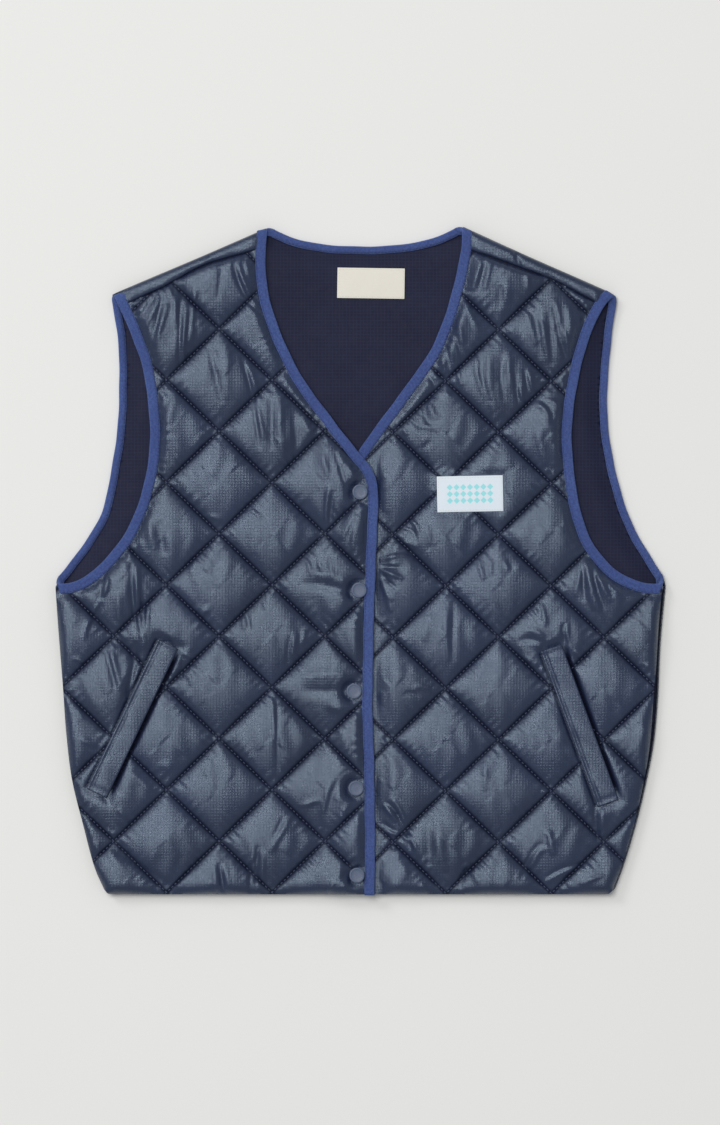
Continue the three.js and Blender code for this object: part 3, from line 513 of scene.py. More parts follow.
def on_plate(plate, points, margin):
    """1 inside a sewn-on piece's rectangle, falling to 0 over a margin round it."""
    across, along = plate_axes(plate, points)
    beyond = np.maximum(np.abs(across) - plate["width"] / 2, np.abs(along) - plate["length"] / 2)
    return 1.0 - smooth(beyond / margin)


def plate_axes(plate, points):
    """Where points lie across and along a sewn-on piece, from its middle."""
    dx = points[:, 0] - plate["x"]
    dy = points[:, 1] - plate["y"]
    cos, sin = math.cos(plate["turn"]), math.sin(plate["turn"])
    return dx * cos + dy * sin, dy * cos - dx * sin


def folds(rows, points):
    """Height that a table of folds adds at each point."""
    total = np.zeros(len(points))
    for x, y, angle, reach, width, height in rows:
        dx = points[:, 0] - x
        dy = points[:, 1] - y
        along = (dx * math.cos(angle) + dy * math.sin(angle)) / reach
        across = (dy * math.cos(angle) - dx * math.sin(angle)) / width
        total += height * np.exp(-2.0 * along * along - across * across)
    return total


def on_lattice(lattice, points):
    """Where points lie across both families of quilting lines: a whole number is a line."""
    across = (points[:, 0] - lattice[0]) / DIAMOND_WIDTH
    along = (points[:, 1] - lattice[1]) / DIAMOND_HEIGHT
    return across + along, across - along


def puff(lattice, points):
    """0 on the quilting lines, 1 in the middle of each diamond."""
    first, second = on_lattice(lattice, points)
    return np.abs(np.sin(math.pi * first) * np.sin(math.pi * second)) ** PUFF_FULLNESS


def inside_height(front, points):
    """Height of a front's plain inner side."""
    from_binding = distance_to(front["bound"], points)
    tongue = 1.0 - smooth((from_binding - TAPE_WIDTH - 0.4) / 3.0)
    lift = lift_at(points[:, 0]) if front["over"] else 0.0
    return FRONT_INSIDE + lift + TONGUE_LOW * tongue


def stitched_distance(lattice, points):
    """Distance to the nearest line of each quilting family, and how far along it."""
    first, second = on_lattice(lattice, points)
    spacing = DIAMOND_WIDTH * DIAMOND_HEIGHT / math.hypot(DIAMOND_WIDTH, DIAMOND_HEIGHT)
    found = []
    for cross, run in ((first, second), (second, first)):
        line = np.round(cross)
        found.append(((cross - line) * spacing, run * spacing, line))
    return found


def quilting_distance(families):
    """Distance to the nearest quilting line of either family."""
    return np.minimum(np.abs(families[0][0]), np.abs(families[1][0]))


def puckers(away, run, line):
    """Short puckers square to a seam: nothing on the seam, highest just beside it."""
    side = np.sign(away) + 1.3 * line
    swing = 0.9 * np.sin(run / 23.0 + 1.7 * side) + 0.6 * np.sin(run / 8.7 + 2.9 * side)
    strength = 0.5 + 0.5 * np.sin(run / 31.0 + 2.1 * side) * np.sin(run / 12.3 + side)
    reach = PUCKER_REACH * (0.75 + 0.35 * np.sin(run / 5.9 + 0.7 * side))
    near = np.abs(away) / reach
    return strength * np.sin(run * 2 * math.pi / PUCKER_PITCH + 2.2 * swing) * near * np.exp(1.0 - near)


def crease_height(rows, points):
    """Height that a table of creases adds: each tapers to its ends."""
    total = np.zeros(len(points))
    for x0, y0, x1, y1, bow, width, height in rows:
        length = math.hypot(x1 - x0, y1 - y0)
        way = np.array([x1 - x0, y1 - y0]) / length
        close = np.max(np.abs(points - np.array([(x0 + x1) / 2, (y0 + y1) / 2])), axis=1) < length
        near = points[close]
        along = ((near - (x0, y0)) @ way) / length
        bowed = 4.0 * bow * along * (1.0 - along)
        across = (near - (x0, y0)) @ np.array([-way[1], way[0]]) - bowed
        taper = np.sin(math.pi * np.clip(along, 0.0, 1.0)) ** 0.6
        total[close] += height * taper * np.exp(-(across / width) ** 2)
    return total


def slit(plate, points):
    """1 in a pocket's opening along its welt, and 1 in the furrow along the stitched side."""
    across, along = plate_axes(plate, points)
    within = smooth((plate["length"] / 2 - np.abs(along)) / 16.0)
    opened = np.exp(-((across - plate["width"] / 2 - SLIT_OFF) / SLIT_HALF) ** 2) * within
    stitched = np.exp(-((across + plate["width"] / 2 + FURROW_OFF) / FURROW_HALF) ** 2)
    return opened, stitched * smooth((plate["length"] / 2 + 1.0 - np.abs(along)) / 3.0)


def creased(front, points):
    """Adds the fine creases, the puckers of the seams and soft upright folds to the cloth."""
    flat = points[:, :2]
    families = stitched_distance(front["lattice"], flat)
    from_line = quilting_distance(families)
    held = smooth(from_line / 2.4)
    added = CREASE_SCALE * crease_height(front["creases"], flat) * held
    for away, run, line in families:
        added += QUILT_PUCKER * puckers(away, run, line)
    for number, bound in enumerate(front["bound"]):
        away, run = nearest_on(bound, flat)
        added += BOUND_PUCKER * puckers(np.maximum(away - TAPE_WIDTH + 0.5, 0.0), run, number + 3.0)
    from_seam, run = nearest_on(front["seam"], flat)
    added += BOUND_PUCKER * puckers(from_seam, run, 9.0)
    x, y = flat[:, 0], flat[:, 1]
    cell = np.round(families[0][1] / DIAMOND_SIDE) * 1.9 + np.round(families[1][1] / DIAMOND_SIDE) * 3.1
    leaning = x + 0.16 * y * np.sin(cell)
    leaning = leaning + 3.0 * np.sin(y / 19.0 + cell) + 1.6 * np.sin(y / 8.0 + 2 * cell)
    strength = 0.6 + 0.4 * np.sin(y / 27.0 + 2.3 * cell)
    upright = np.sin(leaning * 2 * math.pi / UPRIGHT_PITCH + cell) * strength
    added += UPRIGHT_FOLD * upright * smooth(from_line / 14.0)
    loose = smooth((distance_to(front["bound"], flat) - TAPE_WIDTH) / 2.0)
    for plate in front["plates"]:
        loose *= 1.0 - on_plate(plate, flat, 3.0)
    for snap in front["snaps"]:
        loose *= smooth((np.linalg.norm(flat - snap, axis=1) - SNAP_RADIUS) / 3.0)
    loose *= smooth(np.minimum(distance_to(front["free"], flat), from_seam) / 2.5 + 0.1)
    if not front["over"]:
        loose *= smooth((x - UNDERLAP_FLAT_TO) / 6.0)
    changed = points.copy()
    changed[:, 2] += added * loose
    for plate in front["plates"]:
        if plate["slit"]:
            opened, stitched = slit(plate, flat)
            changed[:, 2] -= SLIT_DEPTH * opened + FURROW_DEPTH * stitched
    return changed


def outer_height(front, points):
    """Height of a front's outer cloth: quilting, edges, folds and seats of sewn-on pieces."""
    thickness = GROOVE_THICKNESS + PUFF_HEIGHT * puff(front["lattice"], points)
    thickness += folds(front["broad_folds"], points)
    from_binding = distance_to(front["bound"], points)
    beside = smooth((from_binding - TAPE_WIDTH + 0.6) / BINDING_ROLL)
    thickness = TONGUE_HIGH + (thickness - TONGUE_HIGH) * beside
    from_seam = nearest_on(front["seam"], points)[0]
    free = rounded(distance_to(front["free"], points) / EDGE_ROLL)
    free = np.minimum(free, rounded(from_seam / SEAM_ROLL))
    thickness = FREE_EDGE_THICKNESS + (thickness - FREE_EDGE_THICKNESS) * free
    if not front["over"]:
        full = smooth((points[:, 0] - UNDERLAP_FLAT_TO) / (UNDERLAP_FULL_AT - UNDERLAP_FLAT_TO))
        thickness = UNDERLAP_THICKNESS + (thickness - UNDERLAP_THICKNESS) * full
    height = FRONT_INSIDE + thickness + (lift_at(points[:, 0]) if front["over"] else 0.0)
    for plate in front["plates"]:
        height += (plate["seat"] - height) * on_plate(plate, points, PLATE_FADE)
    for snap in front["snaps"]:
        away = np.linalg.norm(points - snap, axis=1)
        near = 1.0 - smooth((away - SNAP_DIMPLE) / SNAP_DIMPLE_FADE)
        height += (SNAP_SEAT - height) * near
    return height


def faces_within(lattice, outline, cells):
    """Lattice points and the quads between them that lie inside an outline."""
    counts = [
        np.arange(math.floor(place.min() * cells) - 1, math.ceil(place.max() * cells) + 2)
        for place in on_lattice(lattice, outline)
    ]
    one, two = np.meshgrid(*counts)
    points = np.stack([
        lattice[0] + (one + two) / (2 * cells) * DIAMOND_WIDTH,
        lattice[1] + (one - two) / (2 * cells) * DIAMOND_HEIGHT,
    ], axis=-1).reshape(-1, 2)
    index = np.arange(one.size).reshape(one.shape)
    corners = [index[:-1, :-1], index[1:, :-1], index[1:, 1:], index[:-1, 1:]]
    quads = np.stack(corners, axis=-1).reshape(-1, 4)
    middles = points[quads].mean(axis=1)
    cell = DIAMOND_WIDTH / cells / 2
    kept = inside(outline, middles)
    kept[kept] = nearest_on(ringed(outline), middles[kept])[0] > 0.45 * cell
    quads = quads[kept]
    while True:
        pinched = pinched_points(quads)
        if not len(pinched):
            break
        quads = quads[~np.isin(quads, pinched).any(axis=1)]
    used, quads = np.unique(quads, return_inverse=True)
    steps = np.stack([one.ravel()[used], two.ravel()[used]], axis=1)
    return points[used], quads.reshape(-1, 4), steps


def quad_sides(quads):
    """The two corners of each side of each quad."""
    return np.stack([quads, np.roll(quads, -1, axis=1)], axis=-1).reshape(-1, 2)


def rim_steps(quads):
    """The directed edges that only one face has."""
    edges = quad_sides(quads)
    size = int(quads.max()) + 1
    forward = edges[:, 0] * size + edges[:, 1]
    backward = edges[:, 1] * size + edges[:, 0]
    return edges[~np.isin(forward, backward)]


def pinched_points(quads):
    starts, counts = np.unique(rim_steps(quads)[:, 0], return_counts=True)
    return starts[counts > 1]


def rim_loops(quads):
    """The closed loops of rim points, longest first."""
    following = {int(a): int(b) for a, b in rim_steps(quads)}
    loops = []
    while following:
        start = next(iter(following))
        loop = [start]
        point = following.pop(start)
        while point != start:
            loop.append(point)
            point = following.pop(point)
        loops.append(loop)
    return sorted(loops, key=len, reverse=True)


def fitted_net(lattice, outline, cells):
    """A net along the quilting lines that fills an outline, its rim drawn out to the outline."""
    points, quads, steps = faces_within(lattice, outline, cells)
    rim = np.array(rim_loops(quads)[0])
    closed = ringed(outline)
    run = along_of(closed)
    _, where = nearest_on(closed, points[rim])
    total = run[-1]
    stride = (np.diff(where, append=where[:1]) + total / 2) % total - total / 2
    unrolled = where[0] + np.concatenate([[0.0], np.cumsum(stride)[:-1]])
    turns = round(float(stride.sum()) / total)
    for _ in range(8):
        before = np.concatenate([[unrolled[-1] - turns * total], unrolled[:-1]])
        after = np.concatenate([unrolled[1:], [unrolled[0] + turns * total]])
        unrolled = 0.5 * unrolled + 0.25 * (before + after)
    spot = unrolled % total
    points[rim] = np.stack([np.interp(spot, run, closed[:, axis]) for axis in (0, 1)], axis=1)
    on_line = (steps % cells == 0).any(axis=1)
    relax_rim(points, quads, rim, on_line)
    return {"points": points, "quads": quads, "steps": steps, "rim": rim, "on_line": on_line}


def relax_rim(points, quads, rim, on_line):
    """Evens out the net in the two rows beside its rim."""
    near = np.zeros(len(points), bool)
    near[rim] = True
    for _ in range(2):
        near[np.unique(quads[near[quads].any(axis=1)])] = True
    near[rim] = False
    edges = quad_sides(quads)
    for _ in range(6):
        total = np.zeros_like(points)
        count = np.zeros(len(points))
        for a, b in ((0, 1), (1, 0)):
            np.add.at(total, edges[:, a], points[edges[:, b]])
            np.add.at(count, edges[:, a], 1)
        middle = total / count[:, None]
        share = np.where(on_line, 0.25, 0.6)[:, None]
        points[near] += ((middle - points) * share)[near]


def bare_mesh(name, points, faces):
    """A mesh object from millimetres, its faces shaded smooth."""
    mesh = bpy.data.meshes.new(name)
    mesh.from_pydata(placed(points).tolist(), [], [tuple(int(i) for i in face) for face in faces])
    mesh.polygons.foreach_set("use_smooth", [True] * len(mesh.polygons))
    mesh.update()
    cloth = bpy.data.objects.new(name, mesh)
    bpy.context.scene.collection.objects.link(cloth)
    return cloth


def only(thing):
    """Selects one object alone and makes it active."""
    for other in list(bpy.context.selected_objects):
        other.select_set(False)
    thing.select_set(True)
    bpy.context.view_layer.objects.active = thing
    return thing


def facing_out(piece):
    """Turns every face of a closed piece outwards."""
    only(piece)
    bpy.ops.object.mode_set(mode="EDIT")
    bpy.ops.mesh.select_all(action="SELECT")
    bpy.ops.mesh.normals_make_consistent(inside=False)
    bpy.ops.object.mode_set(mode="OBJECT")
    return piece


def points_of(thing):
    """The points of an object's shown mesh, in millimetres."""
    shown = thing.evaluated_get(bpy.context.evaluated_depsgraph_get())
    values = np.zeros(len(shown.data.vertices) * 3)
    shown.data.vertices.foreach_get("co", values)
    return values.reshape(-1, 3) / MILLIMETRE - CENTRE


def set_points(thing, points):
    thing.data.vertices.foreach_set("co", placed(points).ravel())
    thing.data.update()


SIMULATED_FRAMES = 22
SLACK_ACROSS = 1.075
SLACK_ALONG = 1.05
PUCKER_HEIGHT_CAP = 3.5
PUCKER_SHIFT_CAP = 3.0
CLOTH_SETTINGS = {
    "quality": 6, "mass": 0.1, "tension_stiffness": 15, "compression_stiffness": 15,
    "shear_stiffness": 3, "bending_stiffness": 0.02, "air_damping": 2, "vertex_group_mass": "sewn",
    "pin_stiffness": 1, "use_pressure": True, "uniform_pressure_force": 30,
}


def settle(cloth, pinned, slack_seed):
    """Lets the slack outer cloth pucker between its stitches, in Blender's cloth simulation."""
    start = points_of(cloth)
    only(cloth)
    pins = cloth.vertex_groups.new(name="sewn")
    pins.add([int(i) for i in np.flatnonzero(pinned)], 1.0, "REPLACE")
    cloth.shape_key_add(name="sewn shape")
    flat = cloth.shape_key_add(name="cut shape")
    x, y = start[:, 0], start[:, 1]
    cut = np.stack([
        SLACK_ACROSS * x + 1.5 * np.sin(x / 23 + y / 37 + slack_seed) + 0.8 * np.sin(x / 9 - y / 17),
        SLACK_ALONG * y + 1.2 * np.sin(y / 27 - x / 41 + 2 * slack_seed),
        np.zeros(len(x)),
    ], axis=1)
    flat.data.foreach_set("co", placed(cut).ravel())
    flat.value = 0.0
    cloth.modifiers.new("settle", "CLOTH")
    settings = cloth.modifiers["settle"].settings
    for setting, value in CLOTH_SETTINGS.items():
        setattr(settings, setting, value)
    settings.rest_shape_key = flat
    settings.effector_weights.gravity = 0.0
    cloth.modifiers["settle"].collision_settings.use_collision = False
    scene = bpy.context.scene
    for number in range(1, SIMULATED_FRAMES + 1):
        scene.frame_set(number)
    settled = points_of(cloth)
    cloth.modifiers.remove(cloth.modifiers["settle"])
    cloth.shape_key_clear()
    scene.frame_set(1)
    moved = settled - start
    shift = np.linalg.norm(moved[:, :2], axis=1)
    moved[:, :2] *= np.minimum(1.0, PUCKER_SHIFT_CAP / np.maximum(shift, 1e-6))[:, None]
    moved[:, 2] = PUCKER_HEIGHT_CAP * np.tanh(moved[:, 2] / PUCKER_HEIGHT_CAP)
    moved[pinned] = 0.0
    set_points(cloth, start + moved)
    return cloth


def subdivided(cloth, on_line):
    """One round of subdivision that keeps the stitched lines sharp."""
    crease = cloth.data.attributes.new("crease_edge", "FLOAT", "EDGE")
    ends = np.zeros(len(cloth.data.edges) * 2, int)
    cloth.data.edges.foreach_get("vertices", ends)
    both = on_line[ends.reshape(-1, 2)].all(axis=1)
    crease.data.foreach_set("value", np.where(both, 0.8, 0.0))
    only(cloth)
    finer = cloth.modifiers.new("finer", "SUBSURF")
    finer.levels = finer.render_levels = 1
    bpy.ops.object.modifier_apply(modifier="finer")
    return cloth


def closed_front(front, cloth, net):
    """Joins the outer cloth to a plain inner side, with a wall round the rim."""
    outer = points_of(cloth)
    quads = np.array([list(face.vertices) for face in cloth.data.polygons])
    rim = np.array(rim_loops(quads)[0])
    steps = net["steps"]
    spaced = (steps % 4 == 0).all(axis=1)
    from_binding = distance_to(front["bound"], net["points"])
    ring = (np.abs(from_binding - TAPE_WIDTH - 0.8) < 1.0) & (steps.sum(axis=1) % 2 == 0)
    picked = spaced | ring
    picked[net["rim"]] = False
    away = nearest_on(ringed(outer[rim, :2]), net["points"])[0]
    picked &= away > 3.0
    flat = np.vstack([outer[rim, :2], net["points"][picked]])
    count = len(rim)
    edges = [(i, (i + 1) % count) for i in range(count)]
    corners, _, triangles, origin, _, _ = delaunay_2d_cdt(
        [Vector(p) for p in flat.tolist()], edges, [], 1, 1e-5)
    base = len(outer)
    corners = np.array([list(p) for p in corners])
    inner = np.column_stack([corners, inside_height(front, corners)])
    spot = {}
    for index, sources in enumerate(origin):
        for source in sources:
            spot[source] = base + index
    faces = [tuple(face) for face in quads]
    for face in triangles:
        a, b, c = (corners[i] for i in face)
        area = (b[0] - a[0]) * (c[1] - a[1]) - (c[0] - a[0]) * (b[1] - a[1])
        ordered = face if area < 0 else face[::-1]
        faces.append(tuple(base + i for i in ordered))
    for i in range(count):
        j = (i + 1) % count
        faces.append((int(rim[i]), spot[i], spot[j], int(rim[j])))
    name = cloth.name
    bpy.data.objects.remove(cloth)
    panel = bare_mesh(name, np.vstack([outer, inner]), faces)
    only(panel)
    bpy.ops.object.shade_smooth_by_angle(angle=math.radians(50))
    return panel


FRONTS = {
    "front_panel_over": {
        "over": True, "outline": front_left_outline(), "lattice": LATTICE_LEFT,
        "broad_folds": BROAD_FOLDS_LEFT, "creases": CREASES_LEFT, "snaps": SNAPS, "plates": [WELT_LEFT],
        "bound": [neck_over, armhole_left],
        "free": [side_left, np.array([(-240.0, HEM), (40.0, HEM)])],
        "seam": seam_left, "seed": 0.7,
    },
    "front_panel_under": {
        "over": False, "outline": front_right_outline(), "lattice": LATTICE_RIGHT,
        "broad_folds": BROAD_FOLDS_RIGHT, "creases": CREASES_RIGHT, "snaps": [],
        "plates": [WELT_RIGHT, CHEST_LABEL],
        "bound": [neck_under, armhole_right],
        "free": [side_seam_right, np.array([(-40.0, HEM), (240.0, HEM)])],
        "seam": seam_right, "seed": 2.3,
    },
}
CELLS_PER_DIAMOND = 24
GROOVE_SHADE = 3.6


def quilted_front(name):
    front = FRONTS[name]
    net = fitted_net(front["lattice"], front["outline"], CELLS_PER_DIAMOND)
    points = net["points"]
    heights = outer_height(front, points)
    cloth = bare_mesh(name + "_cloth", np.column_stack([points, heights]), net["quads"])
    pinned = net["on_line"].copy()
    pinned[net["rim"]] = True
    pinned |= distance_to(front["bound"], points) < TAPE_WIDTH
    for plate in front["plates"]:
        pinned |= on_plate(plate, points, 1.0) > 0.5
    for snap in front["snaps"]:
        pinned |= np.linalg.norm(points - snap, axis=1) < SNAP_RADIUS + 1.0
    if not front["over"]:
        pinned |= points[:, 0] < UNDERLAP_FLAT_TO
    settle(cloth, pinned, front["seed"])
    subdivided(cloth, net["on_line"])
    set_points(cloth, creased(front, points_of(cloth)))
    panel = closed_front(front, cloth, net)
    # Painted shade: a mask, 1 on the quilting lines and falling off over GROOVE_SHADE, raised in the
    # pockets' slits and in the furrows beside the welts' stitched edges. The shell material darkens its
    # colour and dims its specular by this mask, standing in for the shade in these hollows.
    spots = points_of(panel)[:, :2]
    families = stitched_distance(front["lattice"], spots)
    from_line = quilting_distance(families)
    shaded = 1.0 - smooth(from_line / GROOVE_SHADE)
    for plate in front["plates"]:
        if plate["slit"]:
            opened, stitched = slit(plate, spots)
            shaded = np.maximum(shaded, np.minimum(1.3 * opened + 0.8 * stitched, 1.25))
    panel.data.attributes.new("painted_groove_shade", "FLOAT", "POINT").data.foreach_set(
        "value", shaded.astype(np.float32))
    return panel


BACK_CELLS = 22
LINING_CELLS = 16
STRIP_STEP = 1.6
STRIP_ROWS = 14
STRIP_BOTTOM = 6.2
SHOULDER_LOW_END = 10.1
STITCH_ACROSS_STRIP = (140.5, 296.5)
BACK_BOUND = [back_armhole_left, back_armhole_right, neck_back]


def pillow(name, net, low, high, rim_height):
    """A closed piece from one net: an upper and a lower side that share the rim."""
    points, quads, rim = net["points"], net["quads"], net["rim"]
    count = len(points)
    upper = np.column_stack([points, high])
    upper[rim, 2] = rim_height[rim]
    under = np.full(count, -1)
    inner = np.setdiff1d(np.arange(count), rim)
    under[inner] = count + np.arange(len(inner))
    under[rim] = rim
    lower = np.column_stack([points, low])[inner]
    faces = [tuple(face) for face in quads] + [tuple(under[face[::-1]]) for face in quads]
    return bare_mesh(name, np.vstack([upper, lower]), faces)


def beside_tape(points, width):
    """0 where the back's tape grips the cloth, 1 where the cloth has its full height."""
    away = distance_to(BACK_BOUND, points)
    return smooth((away - width + 1.6) / (BACK_BEVEL_TO - width))


def back_panel():
    """The quilted back, flat where it lies, its grooves just off the surface below."""
    net = fitted_net(LATTICE_RIGHT, back_outline(0.0), BACK_CELLS)
    points = net["points"]
    from_rim = nearest_on(ringed(points[net["rim"]]), points)[0]
    bevel = beside_tape(points, BACK_TAPE_WIDTH)
    groove = 1.0 - puff(LATTICE_RIGHT, points) ** 0.7
    edge = 1.0 - rounded(from_rim / 7.0)
    low = np.maximum(1.9 * groove, 2.6 * edge)
    low = np.where(bevel < 0.02, np.maximum(low, TONGUE_LOW), low)
    high = 2.1 + (BACK_TOP - 2.1) * bevel * rounded((from_rim + 1.0) / 4.0)
    return pillow("back_panel_quilted", net, low, high, np.minimum(high, 3.0) * 0.5 + 1.0)


def back_lining():
    """The lining inside the back, seen in the neck and the armholes."""
    net = fitted_net(LATTICE_RIGHT, back_outline(1.2), LINING_CELLS)
    points = net["points"]
    bevel = beside_tape(points, BACK_TAPE_WIDTH)
    x, y = points[:, 0], points[:, 1]
    waves = 0.28 * np.sin(y / 17 + 0.8 * np.sin(x / 40)) + 0.22 * np.sin(x / 23 - y / 31)
    waves += folds([(8, 205, 0.1, 60, 9, 0.5), (-20, 165, 0.3, 40, 8, -0.4)], points)
    high = 2.7 + (LINING_TOP - 0.2 - 2.7 + waves * 0.4) * bevel
    low = 2.3 + (LINING_BOTTOM - 2.3) * bevel
    return pillow("back_lining", net, low, high, (low + high) / 2)


def shoulder_strip(name, fold, seam, ends, end_slant):
    """The back's shoulder where it comes forward over the fold to the shoulder seam."""
    low, high = ends
    fold = fold[np.argsort(fold[:, 0])]
    columns = int((high - low) / STRIP_STEP)
    across = np.linspace(0.0, 1.0, STRIP_ROWS)
    upper, faces = [], []
    for x in np.linspace(low, high, columns + 1):
        fold_y = np.interp(x, fold[:, 0], fold[:, 1]) - 0.2
        seam_y = np.interp(x, seam[:, 0], seam[:, 1]) + 0.25
        from_end = min(x - low, high - x)
        body = SHOULDER_LOW_END + (STRIP_TOP - SHOULDER_LOW_END) * smooth(from_end / 14.0)
        for share in across:
            back = end_slant * share * float(smooth((x - high + 16.0) / 16.0))
            y = fold_y + (seam_y - fold_y) * share
            from_fold = (fold_y - seam_y) * share
            from_seam = (fold_y - seam_y) * (1.0 - share)
            rise = min(float(rounded(from_fold / 7.5)), 0.62 + 0.38 * float(rounded(from_seam / 5.0)))
            ripple = 0.3 * math.sin(x / 6.1) + 0.25 * math.sin(x / 2.9 + 1.0)
            z = 6.9 + (body - 6.9) * rise + ripple * float(smooth(1 - from_seam / 9.0))
            upper.append((x - back, y, z))
    upper = np.array(upper)
    if name == "shoulder_strip_right":
        slope = (upper[:, 0] - STITCH_ACROSS_STRIP[0]) - 0.23 * (STITCH_ACROSS_STRIP[1] - upper[:, 1])
        upper[:, 2] -= 1.7 * np.exp(-(slope / 2.2) ** 2) * smooth((upper[:, 2] - 8.0) / 3.0)
    lower = upper.copy()
    lower[:, 2] = STRIP_BOTTOM
    size = len(upper)
    rows = STRIP_ROWS
    for column in range(columns):
        for row in range(rows - 1):
            a = column * rows + row
            faces.append((a, a + 1, a + rows + 1, a + rows))
            faces.append((size + a, size + a + rows, size + a + rows + 1, size + a + 1))
        first, last = column * rows, column * rows + rows - 1
        faces.append((first, first + rows, size + first + rows, size + first))
        faces.append((last + rows, last, size + last, size + last + rows))
    for row in range(rows - 1):
        end = columns * rows + row
        faces.append((row + 1, row, size + row, size + row + 1))
        faces.append((end, end + 1, size + end + 1, size + end))
    strip = bare_mesh(name, np.vstack([upper, lower]), faces)
    facing_out(strip)
    bpy.ops.object.shade_smooth_by_angle(angle=math.radians(50))
    return strip


TAPE_ROUND = 1.3
TAPE_LOWEST = 0.03


def tape_section(width):
    """The folded tape's section: across from its fold, and up from its middle."""
    half = TAPE_HEIGHT / 2
    arc = [math.radians(angle) for angle in (0, 30, 60, 90)]
    top_fold = [
        (TAPE_ROUND * (1 - math.sin(a)), half - TAPE_ROUND * (1 - math.cos(a))) for a in arc[::-1]]
    top = [(3.4, half + 0.12), (6.0, half + 0.06), (width - 1.2, half - 0.15), (width - 0.3, half - 0.4)]
    lip = [
        (width, half - 0.75), (width - 0.25, half - 1.15), (width - 2.0, half - 1.25), (3.0, half - 1.15)]
    mouth = [(TAPE_WALL + 0.1, half - 1.3)]
    upper = top_fold + top + lip + mouth
    lower = [(across, -up) for across, up in upper[::-1]]
    return np.array(upper + lower)


def frames_on(line, side, foot):
    """Middle, sideways and up directions of a tape at each point of a finished edge."""
    along = directions(line)
    middle = np.column_stack([line[:, :2], foot + TAPE_HEIGHT / 2])
    across = np.column_stack([-along[:, 1] * side, along[:, 0] * side, np.zeros(len(line))])
    up = np.tile([0.0, 0.0, 1.0], (len(line), 1))
    return middle, across, up


def turned_over(before, after, outward, steps=9):
    """Stations that carry a tape round a fold, from the front layer down to the back."""
    middle_a, across_a = before
    middle_b, across_b = after
    radius = (middle_a[2] - middle_b[2]) / 2
    stations = []
    for angle in np.linspace(0, math.pi, steps)[1:-1]:
        share = (1 - math.cos(angle)) / 2
        middle = middle_a + (middle_b - middle_a) * share + outward * abs(radius) * math.sin(angle)
        across = across_a + (across_b - across_a) * share
        across /= np.linalg.norm(across)
        up = np.array([0.0, 0.0, 1.0]) * math.cos(angle) + outward * math.sin(angle)
        up -= across * (up @ across)
        stations.append((middle, across, up / np.linalg.norm(up)))
    return [np.array(values) for values in zip(*stations)]


def swept_tape(name, middles, acrosses, ups, widths, closed):
    """Carries the tape's section along its stations, with a UV map along and round it."""
    count = len(middles)
    rings = []
    waver = along_of(middles)
    for index in range(count):
        section = tape_section(widths[index])
        run = waver[index]
        section[:, 0] += 0.16 * math.sin(run / 5.3) + 0.12 * math.sin(run / 13.1 + 1.0)
        lift = 0.14 * math.sin(run / 7.7 + 2.0) + 0.1 * math.sin(run / 3.1)
        raised = (section[:, 1:] * (1 + lift * 0.1)) * ups[index]
        rings.append(middles[index] + section[:, :1] * acrosses[index] + raised)
    points = np.vstack(rings)
    points[:, 2] = np.maximum(points[:, 2], TAPE_LOWEST)
    size = len(rings[0])
    faces = []
    last = count if closed else count - 1
    for ring in range(last):
        after = (ring + 1) % count
        for corner in range(size):
            further = (corner + 1) % size
            here, there = ring * size, after * size
            faces.append((here + corner, here + further, there + further, there + corner))
    if not closed:
        half = size // 2
        for ring, flip in ((0, False), (count - 1, True)):
            for corner in range(half - 1):
                quad = [corner, size - 1 - corner, size - 2 - corner, corner + 1]
                faces.append(tuple(ring * size + i for i in (quad[::-1] if flip else quad)))
    tape = bare_mesh(name, points, faces)
    section = tape_section(TAPE_WIDTH)
    round_it = along_of(ringed(section))
    layer = tape.data.uv_layers.new(name="along")
    total = waver[-1] + (np.linalg.norm(middles[0] - middles[-1]) if closed else 0.0)
    run_at = np.append(waver, total)
    for face in tape.data.polygons:
        corners = [tape.data.loops[i].vertex_index for i in face.loop_indices]
        wraps = max(corners) - min(corners) > size * (count - 2)
        for loop, corner in zip(face.loop_indices, corners):
            ring, spot = divmod(corner, size)
            row = count if wraps and ring == 0 else ring
            turn = size if spot == 0 and any(c % size == size - 1 for c in corners) else spot
            layer.data[loop].uv = (run_at[row] * MILLIMETRE, round_it[turn] * MILLIMETRE)
    return facing_out(tape)


TURN_BACK = 4.0
WELT_SEAM_AT = 0.17


def trimmed(line, start, end):
    """A line without its first and last stretch."""
    run = along_of(line)
    kept = (run >= start) & (run <= run[-1] - end)
    return line[kept]


def route(parts, closed):
    """Stations of one tape through several edges, turned over each fold between them."""
    middles, acrosses, ups, widths = [], [], [], []
    pieces = []
    for line, side, foot, width, flip in parts:
        middle, across, up = frames_on(line, side, foot)
        if flip:
            middle, across = middle[::-1], across[::-1]
        pieces.append((middle, across, up, width))
    joints = len(pieces) if closed else len(pieces) - 1
    for index, (middle, across, up, width) in enumerate(pieces):
        middles.append(middle)
        acrosses.append(across)
        ups.append(-up if index % 2 else up)
        widths.append(np.full(len(middle), width))
        if index >= joints:
            continue
        following = pieces[(index + 1) % len(pieces)]
        ahead = middle[-1] - middle[-3]
        coming = following[0][0] - following[0][2]
        outward = ahead / np.linalg.norm(ahead) + coming / np.linalg.norm(coming)
        outward[2] = 0.0
        outward /= np.linalg.norm(outward)
        rising = index % 2 == 1
        if rising:
            turn = turned_over((following[0][0], following[1][0]), (middle[-1], across[-1]), outward)
            turn = [values[::-1] for values in turn]
        else:
            turn = turned_over((middle[-1], across[-1]), (following[0][0], following[1][0]), outward)
        middles.append(turn[0])
        acrosses.append(turn[1])
        ups.append(turn[2])
        widths.append(np.linspace(width, following[3], len(turn[0])))
    return [np.concatenate(values) for values in (middles, acrosses, ups, widths)]


def front_foot(line):
    return np.full(len(line), FRONT_INSIDE)


